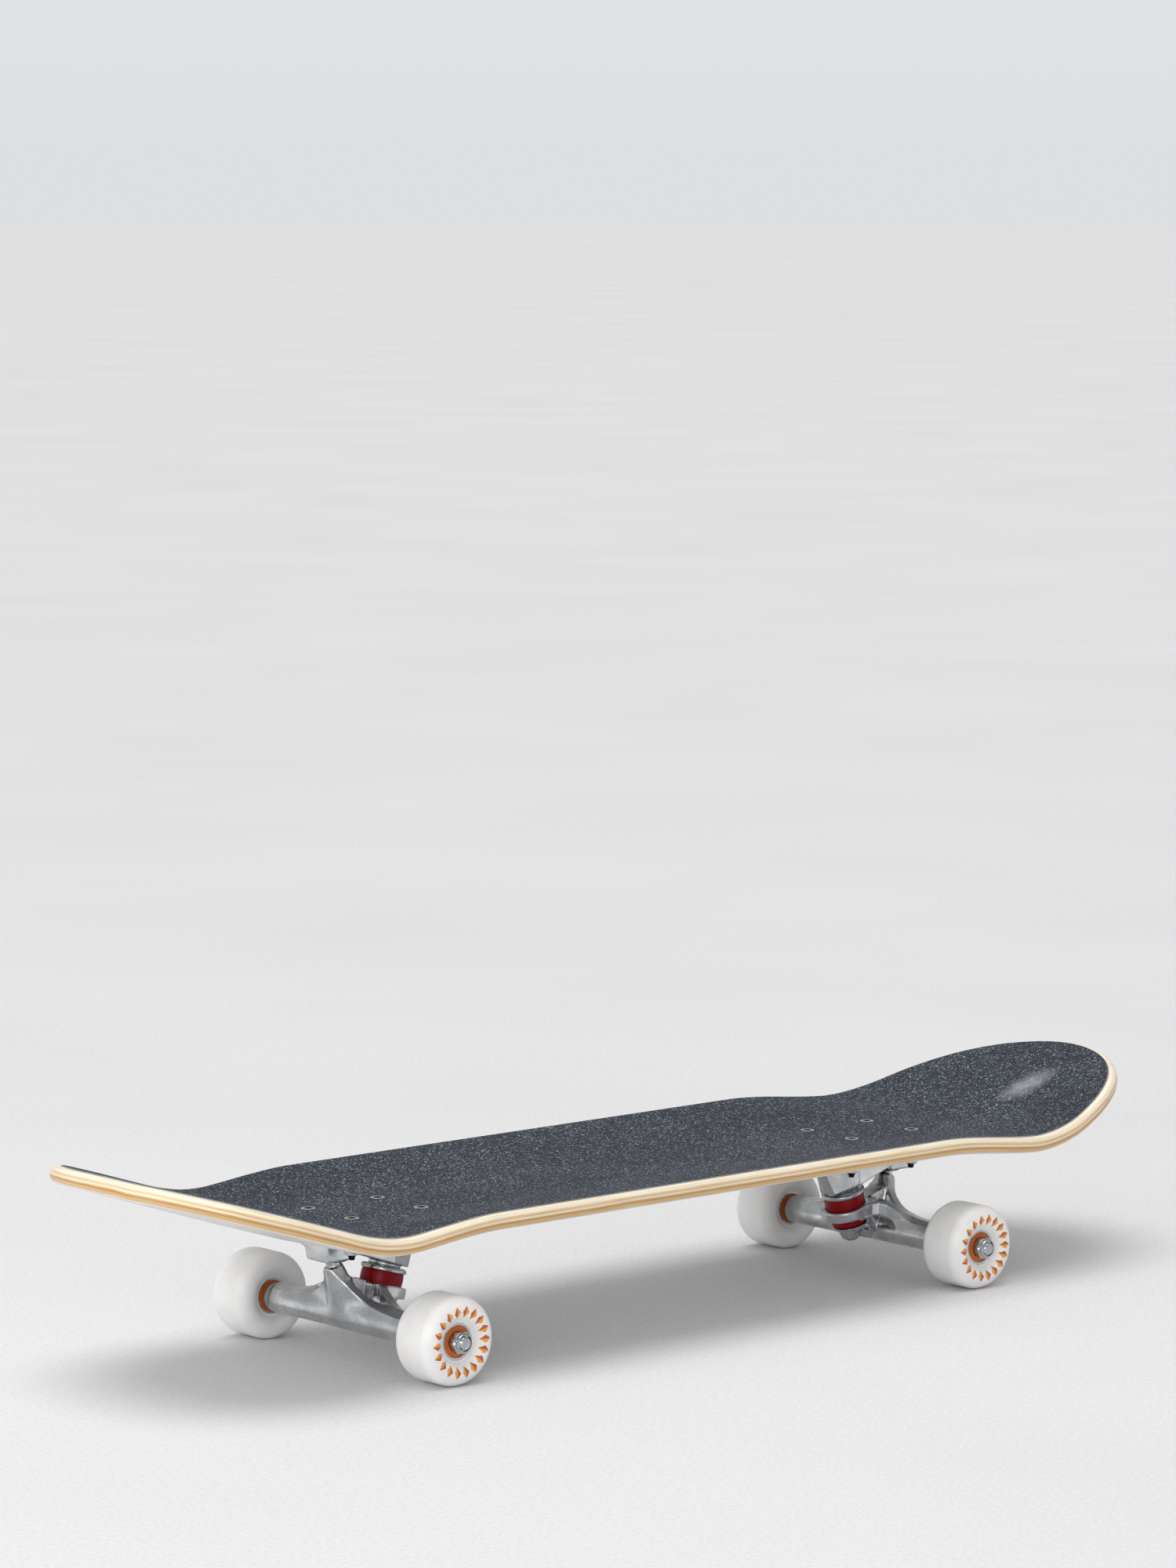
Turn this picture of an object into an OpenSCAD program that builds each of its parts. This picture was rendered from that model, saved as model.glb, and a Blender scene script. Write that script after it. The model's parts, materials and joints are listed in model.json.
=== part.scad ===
// Skateboard: a pressed maple deck with kicked ends, two sprung trucks and four wheels.
// +X points to the nose, +Y to the left side and +Z up.
// The origin is on the ground, below the middle of the deck.

/* [Deck] */
// Length over both tips
deck_l = 824; // [780:1:990]
// Width of the deck
deck_w = 209.5; // [185:0.5:252]
// Thickness of the pressed plies
deck_t = 10.2; // [8.5:0.1:12.5]
// Radius of the rounded deck edge
edge_r = 4.2; // [2:0.1:4.2]
// Thickness of the grip tape
grip_t = 0.8; // [0.6:0.1:1.2]
// How far the grip tape stops short of the deck's widest line
grip_inset = 4.4; // [4.3:0.1:8]
// Rise of the long edges above the middle, between the trucks
concave_mid = 10.3; // [0:0.1:13]
// Rise of the long edges above the middle, along the kicks
concave_kick = 2.6; // [0:0.1:8]
// Width of the flat strip along the middle
flat_w = 58; // [58:1:72]

/* [Kicks] */
// Distance from the middle to where the nose starts to bend
nose_bend_x = 268; // [262:1:290]
// Distance from the middle to where the tail starts to bend
tail_bend_x = 246; // [244:1:290]
// Bend radius of both kicks
kick_r = 181; // [120:1:220]
// Angle of the nose
nose_angle = 18.4; // [10:0.1:24]
// Angle of the tail
tail_angle = 18.2; // [10:0.1:24]
// Length of the stretch in which the nose narrows
nose_taper_l = 213; // [150:1:230]
// Length of the stretch in which the tail narrows
tail_taper_l = 216; // [150:1:230]
// Bluntness of the nose outline
nose_blunt = 3.2; // [2:0.1:6]
// Bluntness of the tail outline
tail_blunt = 5.4; // [2:0.1:6]

/* [Trucks] */
// Distance between the two trucks' inner bolt rows
wheelbase = 361.95; // [340:0.05:375]
// Bolt spacing along the deck
bolt_gap_x = 53.975; // [50:0.005:56]
// Bolt spacing across the deck
bolt_gap_y = 41.275; // [38:0.005:43]
// Distance from the inner bolt row out to the axle
axle_offset = 38.4; // [36:0.1:41]
// Height of the deck's underside above the axle
truck_h = 53.4; // [53:0.1:65]
// Width of the hanger between the wheels
hanger_w = 149; // [130:1:180]
// Radius of the hanger's arms around the axle
arm_r = 9; // [8:0.1:10.5]
// Thickness of the baseplate's flange
flange_t = 6; // [5:0.1:7]
// Width of the baseplate's flange
flange_w = 56; // [54:0.5:58]

/* [Kingpin] */
// Diameter of the kingpin
kingpin_d = 9.525; // [8:0.005:11.5]
// Lean of the kingpin from upright
kingpin_lean = 16; // [12:0.5:18]
// Diameter of the upper bushing
top_bushing_d = 25.5; // [24:0.1:30.6]
// Free height of the upper bushing
top_bushing_h = 11.4; // [10:0.1:12.5]
// Diameter of the lower bushing's upper end
bottom_bushing_d = 23.6; // [22:0.1:26]
// Free height of the lower bushing
bottom_bushing_h = 8.6; // [8:0.1:9.5]
// Height of the hanger's ring between the bushings
ring_h = 7; // [6.5:0.1:9]
// Wall of the ring outside the upper bushing's seat
ring_wall = 3.3; // [2.5:0.1:4]
// Across flats of the kingpin's head and nut
kingpin_af = 14.3; // [13.6:0.1:16]

/* [Wheels] */
// Diameter of the wheels
wheel_d = 54; // [48:0.5:65]
// Width of the wheels
wheel_w = 33.5; // [30:0.5:36]
// Width of the straight tread
tread_w = 18; // [14:0.5:20]
// Diameter of the axle
axle_d = 7.94; // [7:0.01:8.5]
// Outer diameter of a bearing
bearing_d = 22; // [20:0.1:26.4]
// Bore of a bearing
bearing_bore = 8; // [7.1:0.01:9]
// Width of a bearing
bearing_w = 7; // [6:0.1:8]
// Distance between a wheel's two bearings
bearing_gap = 10; // [8:0.1:12]
// Diameter of a bearing ball
ball_d = 3.969; // [3.2:0.001:4.2]

/* [Hidden] */
$fn = 64;

// Clearances
seat_gap = 0.02;
track_gap = 0.13;
run_gap = 0.15;
free_gap = 2.5;
cut = 1;

// Heights of the axle and the deck, and the axle's distance from the middle
axle_z = wheel_d / 2;
deck_z = axle_z + truck_h;
axle_x = wheelbase / 2 + axle_offset;

// The deck's surface is unrolled: s runs along its middle line, from the tail to the nose
stations = 60;
side_columns = 3;
columns = 2 * side_columns + 1;
edge_steps = [90, 60, 30, 0];
nose = [nose_bend_x, nose_angle];
tail = [tail_bend_x, tail_angle];
nose_s = tip_s(nose);
tail_s = tip_s(tail);
concave_from = 185;
concave_to = 280;

// Mounting hardware, 10-32 with countersunk heads
bolt_d = 4.82;
bolt_l = 25.4;
bolt_head_d = 9.2;
bolt_head_h = 2.4;
bolt_socket_af = 3.2;
bolt_socket_h = 1.9;
bolt_hole_d = bolt_d + 0.5;
mount_nut_af = 9.5;
mount_nut_h = 5.5;

// Shares of every lock nut's height and width that its hexagon and its collar take
nut_hex_share = 0.72;
nut_collar_share = 0.9;

// Baseplate outline, in the truck's frame: +X away from the middle of the deck, Z from the axle
flange_in = -52;
flange_out = 27;
flange_corner = 9;
keel_bottom = 28.6;
keel_in = -39.8;
keel_out = 8;
keel_rise = 16.1;
keel_half_w = 13.5;
prow_half_w = 5.5;
prow_l = 16;
prow_back = 4;
pad_r = 10;
pad_h = 14;
boss_r = 10.6;
boss_drop = 17.4;
boss_slope = 4;
boss_step = 2;

// Kingpin stack: the seat is where the upper washer bears on the baseplate
seat = [-26.6, 0, truck_h - 26.4];
washer_t = 1.6;
washer_lip = 1.4;
washer_wall = 1.2;
bushing_gap = 0.25;
bushing_taper = 2;
top_washer_d = top_bushing_d + 2 * (bushing_gap + washer_wall);
bottom_washer_d = bottom_bushing_d - 0.4;
web_t = 2.5;
web_hole_d = kingpin_d + 2 * (free_gap + 0.75);
top_seat_h = 2;
web_top = washer_t + top_bushing_h;
ring_top = web_top - top_seat_h;
ring_d = top_bushing_d + 2 * (bushing_gap + ring_wall);
bottom_bushing_z = web_top + web_t;
bottom_washer_z = bottom_bushing_z + bottom_bushing_h;
kingpin_nut_z = bottom_washer_z + washer_t;
kingpin_nut_h = 8;
kingpin_end = kingpin_nut_z + kingpin_nut_h + 1.5;
kingpin_head_h = 5.5;
kingpin_head_z = (truck_h - seat[2]) / cos(kingpin_lean)
    - kingpin_af / sqrt(3) * tan(kingpin_lean) - 0.3;

// Pivot: a ball on the hanger's post, in a cup in the baseplate
pivot = [16, 0, truck_h - 10.9];
pivot_lean = 18;
ball_r = 6;
cup_wall = 2.3;
cup_top = 6.9;
neck_r = 4.3;
neck_l = 9.5;
post_r = 8;
post_l = 34;
cup_lip = 0.7;

// The hanger's web, and on each side a rib from its ring and a fin from its post, out to the arm
hanger_web_w = 15;
rib_r = 5;
rib_start = 47;
rib_stop = 22;
fin_r = 3.3;
fin_top_x = 8;
fin_top = 27;
fin_foot_x = 5;
fin_stop = 20;

// The hanger's ring centre, on the steering axis with the pivot
ring_mid = web_top + web_t / 2;
ring_centre = seat + ring_mid * [sin(kingpin_lean), 0, -cos(kingpin_lean)];

// Wheel and bearing places along the axle, from the truck's middle
speed_washer_t = 1;
speed_washer_d = 12;
inner_bearing_y = hanger_w / 2 + speed_washer_t;
outer_bearing_y = inner_bearing_y + bearing_w + bearing_gap;
wheel_y = (inner_bearing_y + outer_bearing_y + bearing_w) / 2;
outer_washer_y = outer_bearing_y + bearing_w;
axle_nut_y = outer_washer_y + speed_washer_t;
axle_nut_h = 6.5;
axle_nut_af = 12.7;
axle_end = axle_nut_y + axle_nut_h + 1;
race_wall = 1.9;
pitch_r = (bearing_bore + bearing_d) / 4;
balls = 7;
cage_h = 5.4;
cage_gap = 0.4;
shield_t = 0.4;
shield_in = 0.3;
shield_r = bearing_d / 2 - race_wall + 0.8;
shoulder_r = (wheel_w - tread_w) / 2;
hub_lip = 1.2;
hub_rise = 0.6;

// ---- Deck surface ----

// Place along the middle line of a tip, whose rounded edge reaches deck_l / 2 from the middle
function tip_s(kick) = kick[0] + kick_r * kick[1] * PI / 180
    + (deck_l / 2 + edge_r * (cos(kick[1]) + sin(kick[1]) - 1) - kick[0] - kick_r * sin(kick[1]))
        / cos(kick[1]);

// A rise from 0 to 1 with level ends
function smooth(t) = let (u = min(max(t, 0), 1)) u * u * (3 - 2 * u);

// Rise of the long edges at place s
function concave(s) = concave_mid
    + (concave_kick - concave_mid) * smooth((abs(s) - concave_from) / (concave_to - concave_from));

// Narrowing of the outline towards a tip
function taper(t, blunt) = sqrt(max(1 - pow(max(t, 0), blunt), 0));

// Half width at place s of the outline, drawn in by inset all round
function half_width(s, inset) = (deck_w / 2 - inset)
    * taper((s - nose_s + nose_taper_l) / (nose_taper_l - inset), nose_blunt)
    * taper((tail_taper_l - tail_s - s) / (tail_taper_l - inset), tail_blunt);

// Place of a station, from 0 at the nose's tip to the last one at the tail's
function station_s(i, inset) = (nose_s - tail_s) / 2
    + ((nose_s + tail_s) / 2 - inset) * cos(180 * i / stations);

// A point at place s, y across and h above the deck's underside
function surface_point(s, y, h) =
    let (kick = s > 0 ? nose : tail,
         angle = min(max(abs(s) - kick[0], 0) / kick_r * 180 / PI, kick[1]),
         straight = max(abs(s) - kick[0] - kick_r * kick[1] * PI / 180, 0),
         x = min(abs(s), kick[0]) + kick_r * sin(angle) + straight * cos(angle),
         z = kick_r * (1 - cos(angle)) + straight * sin(angle),
         lift = h + concave(s) * pow(max(abs(y) - flat_w / 2, 0) / (deck_w - flat_w) * 2, 1.25))
    [sign(s) * (x - lift * sin(angle)), y, deck_z + z + lift * cos(angle)];

// A point of the outline: i counts once round, down the right side and back up the left
function outline_point(i, level) =
    let (k = i <= stations ? i : 2 * stations - i,
         s = station_s(k, level[0]),
         side = i <= stations ? -1 : 1,
         y = k == 0 || k == stations ? 0 : half_width(s, level[0]))
    surface_point(s, side * y, level[1]);

// A point across station i: j counts from the right edge to the left
function across_point(i, j, level) =
    let (s = station_s(i, level[0]),
         half = half_width(s, level[0]),
         flat = min(flat_w / 2, half / 2),
         k = j <= side_columns ? side_columns - j : j - side_columns - 1,
         y = flat + (half - flat) * k / side_columns)
    surface_point(s, (j <= side_columns ? -y : y), level[1]);

// Index of the point across station i at column j; a face's own points start at first
function across_index(i, j, loop, first) =
    i == 0 ? loop
    : i == stations ? loop + stations
    : j == 0 ? loop + i
    : j == columns ? loop + 2 * stations - i
    : first + (i - 1) * (columns - 1) + j - 1;

// Two triangles, or one where the quad has closed to a tip
function quad(a, b, c, d) = a == b ? [[b, c, d]] : c == d ? [[a, b, c]] : [[a, b, c], [a, c, d]];

function reversed(faces) = [for (f = faces) [f[2], f[1], f[0]]];

function cover_faces(loop, first) = [
    for (i = [0 : stations - 1]) for (j = [0 : columns - 1])
        each quad(across_index(i, j, loop, first), across_index(i, j + 1, loop, first),
                  across_index(i + 1, j + 1, loop, first), across_index(i + 1, j, loop, first))];

// A sheet that follows the deck: its edge has one loop of points for each [inset, height]
module sheet(levels) {
    loop_n = 2 * stations;
    last = len(levels) - 1;
    inner_n = (stations - 1) * (columns - 1);
    bottom_first = loop_n * (last + 1);
    points = concat(
        [for (level = levels) for (i = [0 : loop_n - 1]) outline_point(i, level)],
        [for (level = [levels[0], levels[last]])
            for (i = [1 : stations - 1]) for (j = [1 : columns - 1]) across_point(i, j, level)]);
    faces = concat(
        [for (k = [0 : last - 1]) for (i = [0 : loop_n - 1])
            let (a = k * loop_n + i, b = k * loop_n + (i + 1) % loop_n)
                each quad(a, a + loop_n, b + loop_n, b)],
        reversed(cover_faces(0, bottom_first)),
        cover_faces(loop_n * last, bottom_first + inner_n));
    polyhedron(points, faces, convexity = 6);
}

// ---- Places ----

module at_truck(end) rotate([0, 0, end > 0 ? 0 : 180]) translate([axle_x, 0, axle_z]) children();

module at_bolts()
    for (x = [-axle_offset, bolt_gap_x - axle_offset]) for (side = [-1, 1])
        translate([x, side * bolt_gap_y / 2, 0]) children();

// +Z up along the kingpin, from the seat
module on_kingpin() translate(seat) rotate([0, -kingpin_lean, 0]) children();

// The same, at a distance below the seat
module down_kingpin(d) on_kingpin() translate([0, 0, -d]) children();

// +Z up along the pivot's post, from the middle of its ball
module on_pivot() translate(pivot) rotate([0, pivot_lean, 0]) children();

// +Z outwards along the axle, on each side of the truck
module on_axle(y) for (side = [-1, 1]) rotate([-90 * side, 0, 0]) translate([0, 0, y]) children();

// +Z outwards along the axle, at one wheel
module at_wheel(end, side, y)
    translate([end * axle_x, 0, axle_z]) rotate([-90 * side, 0, 0]) translate([0, 0, y]) children();

module at_bearings(end, side) {
    at_wheel(end, side, inner_bearing_y) children();
    at_wheel(end, side, outer_bearing_y) children();
}

// ---- Small shapes ----

module hex(af, h) cylinder(d = af * 2 / sqrt(3), h = h, $fn = 6);

// A tube from z = 0 to h
module ring(r_out, r_in, h) difference() {
    cylinder(r = r_out, h = h);
    translate([0, 0, -cut]) cylinder(r = r_in, h = h + 2 * cut);
}

// A hex nut with a plain collar on its far end
module lock_nut(af, h, hole_r) difference() {
    union() {
        hex(af, h * nut_hex_share);
        cylinder(d = af * nut_collar_share, h = h);
    }
    translate([0, 0, -cut]) cylinder(r = hole_r, h = h + 2 * cut);
}

// A profile in X and Z, drawn across the truck
module across(width) rotate([90, 0, 0]) linear_extrude(width, center = true) children();

// ---- Deck, grip and mounting hardware ----

module bolt_holes(d) for (end = [-1, 1]) at_truck(end) at_bolts()
    translate([0, 0, truck_h - cut]) cylinder(d = d, h = deck_t + grip_t + 2 * cut);

module head_sinks() for (end = [-1, 1]) at_truck(end) at_bolts()
    translate([0, 0, truck_h + deck_t + grip_t - bolt_head_h])
        bolt_head(2 * run_gap, cut);

// The countersunk head, grown by extra and carried up by above
module bolt_head(extra, above) {
    cylinder(d1 = bolt_d + extra, d2 = bolt_head_d + extra, h = bolt_head_h);
    if (above > 0) translate([0, 0, bolt_head_h]) cylinder(d = bolt_head_d + extra, h = above);
}

// The edge is a half round, and the top ends in the loop that the grip tape's underside starts from
module deck() color("burlywood") difference() {
    sheet(concat(
        [for (a = edge_steps) [edge_r * (1 - cos(a)), edge_r * (1 - sin(a))]],
        [for (k = [len(edge_steps) - 1 : -1 : 0])
            let (a = edge_steps[k]) [edge_r * (1 - cos(a)), deck_t - edge_r * (1 - sin(a))]],
        [[grip_inset, deck_t]]));
    bolt_holes(bolt_hole_d);
    head_sinks();
}

module grip_tape() color("darkslategray") difference() {
    sheet([[grip_inset, deck_t], [grip_inset, deck_t + grip_t]]);
    bolt_holes(bolt_hole_d);
    head_sinks();
}

module mounting_bolts(end) color("dimgray") at_truck(end) at_bolts()
    translate([0, 0, truck_h + deck_t + grip_t - bolt_l]) difference() {
        union() {
            cylinder(d = bolt_d, h = bolt_l - bolt_head_h);
            translate([0, 0, bolt_l - bolt_head_h]) bolt_head(0, 0);
        }
        translate([0, 0, bolt_l - bolt_socket_h]) hex(bolt_socket_af, bolt_socket_h + cut);
    }

module mounting_nuts(end) color("dimgray") at_truck(end) at_bolts()
    translate([0, 0, truck_h - flange_t]) rotate([180, 0, 0])
        lock_nut(mount_nut_af, mount_nut_h, bolt_d / 2 + seat_gap);

// ---- Truck, fixed to the deck ----

module flange_shape() {
    half = flange_w / 2;
    translate([flange_in + flange_corner, -half])
        square([flange_out - flange_in - 2 * flange_corner, flange_w]);
    translate([flange_in, -half + flange_corner])
        square([flange_out - flange_in, flange_w - 2 * flange_corner]);
    for (x = [flange_in + flange_corner, flange_out - flange_corner]) for (side = [-1, 1])
        translate([x, side * (half - flange_corner)]) circle(flange_corner);
}

// Side view of the casting below the flange: a keel that rises outwards, then the pivot's block
module keel_side() polygon([
    [flange_in, truck_h], [flange_in, truck_h - flange_t],
    [keel_in, truck_h - keel_bottom], [keel_out, truck_h - keel_bottom + keel_rise],
    [keel_out + boss_step, truck_h - boss_drop + boss_step],
    [flange_out - boss_slope, truck_h - boss_drop + boss_step],
    [flange_out, truck_h - flange_t], [flange_out, truck_h]]);

// Plan of the same: narrow at the kingpin's end, like a prow
module keel_plan() for (side = [0, 1]) mirror([0, side]) polygon([
    [flange_in, 0], [flange_in, prow_half_w], [keel_in - prow_back, prow_half_w],
    [keel_in + prow_l, keel_half_w], [keel_out - boss_step, keel_half_w],
    [keel_out + boss_step, boss_r], [flange_out, boss_r], [flange_out, 0]]);

module baseplate(end) color("silver") at_truck(end) difference() {
    union() {
        translate([0, 0, truck_h - flange_t]) linear_extrude(flange_t) flange_shape();
        intersection() {
            across(flange_w) keel_side();
            linear_extrude(truck_h) keel_plan();
        }
        on_kingpin() cylinder(r = pad_r, h = pad_h);
        intersection() {
            on_pivot() translate([0, 0, -boss_drop]) cylinder(r = boss_r, h = 2 * boss_drop);
            translate([0, -flange_w / 2, truck_h - boss_drop])
                cube([flange_out, flange_w, boss_drop]);
        }
    }
    on_kingpin() translate([0, 0, -cut])
        cylinder(d = kingpin_d + 2 * seat_gap, h = kingpin_head_z + 2 * cut);
    on_kingpin() translate([0, 0, kingpin_head_z - kingpin_head_h])
        hex(kingpin_af + 2 * run_gap, 3 * kingpin_head_h);
    on_pivot() translate([0, 0, -3 * boss_drop])
        cylinder(r = ball_r + run_gap + cup_wall + seat_gap, h = 3 * boss_drop + cup_top + seat_gap);
    at_bolts() translate([0, 0, truck_h - flange_t - cut])
        cylinder(d = bolt_hole_d, h = flange_t + 2 * cut);
}

module pivot_cup(end) color("dimgray") at_truck(end) difference() {
    intersection() {
        on_pivot() translate([0, 0, -2 * boss_drop])
            cylinder(r = ball_r + run_gap + cup_wall, h = 2 * boss_drop + cup_top);
        translate([0, -flange_w / 2, truck_h - boss_drop - cup_lip])
            cube([2 * flange_out, flange_w, boss_drop + cup_lip]);
    }
    on_pivot() sphere(ball_r + run_gap);
    on_pivot() translate([0, 0, -2 * boss_drop])
        cylinder(r = ball_r + run_gap, h = 2 * boss_drop);
}

module kingpin(end) color("gainsboro") at_truck(end) {
    down_kingpin(kingpin_end) cylinder(d = kingpin_d, h = kingpin_end + kingpin_head_z - cut);
    on_kingpin() translate([0, 0, kingpin_head_z - kingpin_head_h])
        hex(kingpin_af, kingpin_head_h);
}

module kingpin_nut(end) color("gainsboro") at_truck(end) down_kingpin(kingpin_nut_z)
    rotate([180, 0, 0]) lock_nut(kingpin_af, kingpin_nut_h, kingpin_d / 2 + seat_gap);

// A flat washer with a rim; the hole is a seat gap wider than the kingpin
module cup_washer(d, lip) difference() {
    translate([0, 0, -lip]) cylinder(d = d, h = washer_t + lip);
    translate([0, 0, -lip - cut]) cylinder(d = d - 2 * washer_wall, h = lip + cut);
    translate([0, 0, -cut]) cylinder(d = kingpin_d + 2 * seat_gap, h = washer_t + 2 * cut);
}

module top_washer(end) color("gainsboro") at_truck(end)
    down_kingpin(washer_t) cup_washer(top_washer_d, washer_lip);

module bottom_washer(end) color("gainsboro") at_truck(end)
    down_kingpin(kingpin_nut_z) cup_washer(bottom_washer_d, 0);

module bushing_hole(h) translate([0, 0, -cut])
    cylinder(d = kingpin_d + 2 * seat_gap, h = h + 2 * cut);

module top_bushing(end) color("firebrick") at_truck(end) down_kingpin(web_top - seat_gap)
    difference() {
        cylinder(d = top_bushing_d, h = top_bushing_h - 2 * seat_gap);
        bushing_hole(top_bushing_h);
    }

module bottom_bushing(end) color("firebrick") at_truck(end) down_kingpin(bottom_washer_z - seat_gap)
    difference() {
        cylinder(d1 = bottom_bushing_d - bushing_taper, d2 = bottom_bushing_d, h = bottom_bushing_h - 2 * seat_gap);
        bushing_hole(bottom_bushing_h);
    }

// ---- Truck, steering ----

// A rib from the ring out to the arm, and a fin from the post down to it, on one side
module hanger_rib(side) hull() {
    translate(ring_centre + [4.5, side * (ring_d / 2 - 3), 1]) sphere(rib_r, $fn = 24);
    translate([-0.5, side * (hanger_w / 2 - rib_start), 0.5]) sphere(arm_r - 0.5, $fn = 24);
    translate([-0.5, side * (hanger_w / 2 - rib_stop), 0.5]) sphere(arm_r - 0.8, $fn = 24);
}

module hanger_fin(side) hull() {
    translate([fin_top_x, side * fin_r, truck_h - fin_top]) sphere(fin_r, $fn = 20);
    translate([fin_foot_x, side * arm_r, fin_r]) sphere(fin_r, $fn = 20);
    translate([fin_foot_x / 2, side * (hanger_w / 2 - fin_stop), fin_r]) sphere(fin_r, $fn = 20);
}

// Side view of the web that joins the ring, the post and the arms
module hanger_web() polygon([
    [-10, truck_h - 34], [-9, truck_h - 32.8], [0, truck_h - 29.9], [8, truck_h - 28.4],
    [11, truck_h - 33], [8, 0], [-4, 4], [-7, truck_h - 41]]);

module hanger(end) color("silver") at_truck(end) difference() {
    union() {
        rotate([90, 0, 0]) cylinder(r = arm_r, h = hanger_w, center = true);
        down_kingpin(ring_top + ring_h) cylinder(d = ring_d, h = ring_h);
        across(hanger_web_w) hanger_web();
        on_pivot() sphere(ball_r);
        on_pivot() translate([0, 0, -neck_l]) cylinder(r = neck_r, h = neck_l);
        on_pivot() translate([0, 0, -post_l])
            cylinder(r1 = post_r, r2 = neck_r, h = post_l - neck_l);
        for (side = [-1, 1]) hanger_rib(side);
        for (side = [-1, 1]) hanger_fin(side);
    }
    down_kingpin(web_top) cylinder(d = top_bushing_d + 2 * bushing_gap, h = 3 * top_bushing_h);
    down_kingpin(kingpin_end) cylinder(d = bottom_bushing_d + 2 * bushing_gap, h = kingpin_end - bottom_bushing_z);
    down_kingpin(2 * kingpin_end)
        cylinder(r = bottom_washer_d / 2 + free_gap, h = 2 * kingpin_end - ring_top - ring_h);
    down_kingpin(kingpin_end) cylinder(d = web_hole_d, h = kingpin_end);
    rotate([90, 0, 0]) cylinder(d = axle_d + 2 * seat_gap, h = hanger_w + 2 * cut, center = true);
}

module axle(end) color("gainsboro") at_truck(end)
    rotate([90, 0, 0]) cylinder(d = axle_d, h = 2 * axle_end, center = true);

module axle_nuts(end) color("gainsboro") at_truck(end) on_axle(axle_nut_y)
    lock_nut(axle_nut_af, axle_nut_h, axle_d / 2 + seat_gap);

module speed_washers(end) color("gainsboro") at_truck(end) {
    on_axle(hanger_w / 2) ring(speed_washer_d / 2, axle_d / 2 + seat_gap, speed_washer_t);
    on_axle(outer_washer_y) ring(speed_washer_d / 2, axle_d / 2 + seat_gap, speed_washer_t);
}

// ---- Wheels and bearings ----

// The wheel's section: X is the radius, Y runs outwards from its middle. The rounded shoulders stop
// at the bearing seats
module wheel_section() {
    r = wheel_d / 2;
    seat_r = bearing_d / 2 + seat_gap;
    face = bearing_gap / 2 + bearing_w;
    core = bearing_gap / 2;
    core_r = bearing_d / 2 - race_wall;
    polygon([
        [core_r, -core], [seat_r, -core], [seat_r, -face], [seat_r + hub_lip, -face - hub_rise],
        [r - shoulder_r, -wheel_w / 2], [r - shoulder_r, -tread_w / 2], [r, -tread_w / 2],
        [r, tread_w / 2], [r - shoulder_r, tread_w / 2], [r - shoulder_r, wheel_w / 2],
        [seat_r + hub_lip, face + hub_rise], [seat_r, face], [seat_r, core], [core_r, core]]);
    for (side = [-1, 1]) difference() {
        translate([r - shoulder_r, side * tread_w / 2]) circle(shoulder_r);
        translate([0, -wheel_w / 2]) square([seat_r, wheel_w]);
    }
}

module wheel(end, side) color("whitesmoke")
    at_wheel(end, side, wheel_y) rotate_extrude() wheel_section();

// The round groove that the balls run in
module ball_track() translate([0, 0, bearing_w / 2])
    rotate_extrude() translate([pitch_r, 0]) circle(d = ball_d + track_gap);

// An outer race is counterbored at each end for its shield
module outer_races(end, side) color("gainsboro") at_bearings(end, side) difference() {
    ring(bearing_d / 2, bearing_d / 2 - race_wall, bearing_w);
    ball_track();
    for (z = [-cut, bearing_w - shield_in - shield_t]) translate([0, 0, z])
        cylinder(r = shield_r + seat_gap, h = shield_in + shield_t + cut);
}

module inner_races(end, side) color("gainsboro") at_bearings(end, side) difference() {
    ring(bearing_bore / 2 + race_wall, bearing_bore / 2, bearing_w);
    ball_track();
}

module ball_ring() translate([0, 0, bearing_w / 2])
    for (k = [0 : balls - 1]) rotate([0, 0, 360 * k / balls]) translate([pitch_r, 0, 0]) children();

module bearing_balls(end, side) color("gainsboro")
    at_bearings(end, side) ball_ring() sphere(d = ball_d);

module cages(end, side) color("burlywood") at_bearings(end, side) difference() {
    translate([0, 0, (bearing_w - cage_h) / 2])
        ring(bearing_d / 2 - race_wall - cage_gap, bearing_bore / 2 + race_wall + cage_gap, cage_h);
    ball_ring() rotate([0, 90, 0])
        cylinder(d = ball_d + run_gap, h = bearing_d / 2 - bearing_bore / 2, center = true);
}

module shields(end, side) color("orange") at_bearings(end, side)
    for (z = [shield_in, bearing_w - shield_in - shield_t]) translate([0, 0, z])
        ring(shield_r, bearing_bore / 2 + race_wall + run_gap, shield_t);

deck();
grip_tape();

mounting_bolts(1);  // front_mounting_bolts
mounting_nuts(1);  // front_mounting_nuts
baseplate(1);  // front_baseplate
pivot_cup(1);  // front_pivot_cup
kingpin(1);  // front_kingpin
kingpin_nut(1);  // front_kingpin_nut
top_washer(1);  // front_top_washer
bottom_washer(1);  // front_bottom_washer
top_bushing(1);  // front_top_bushing
bottom_bushing(1);  // front_bottom_bushing
hanger(1);  // front_hanger
axle(1);  // front_axle
axle_nuts(1);  // front_axle_nuts
speed_washers(1);  // front_speed_washers

mounting_bolts(-1);  // rear_mounting_bolts
mounting_nuts(-1);  // rear_mounting_nuts
baseplate(-1);  // rear_baseplate
pivot_cup(-1);  // rear_pivot_cup
kingpin(-1);  // rear_kingpin
kingpin_nut(-1);  // rear_kingpin_nut
top_washer(-1);  // rear_top_washer
bottom_washer(-1);  // rear_bottom_washer
top_bushing(-1);  // rear_top_bushing
bottom_bushing(-1);  // rear_bottom_bushing
hanger(-1);  // rear_hanger
axle(-1);  // rear_axle
axle_nuts(-1);  // rear_axle_nuts
speed_washers(-1);  // rear_speed_washers

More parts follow.
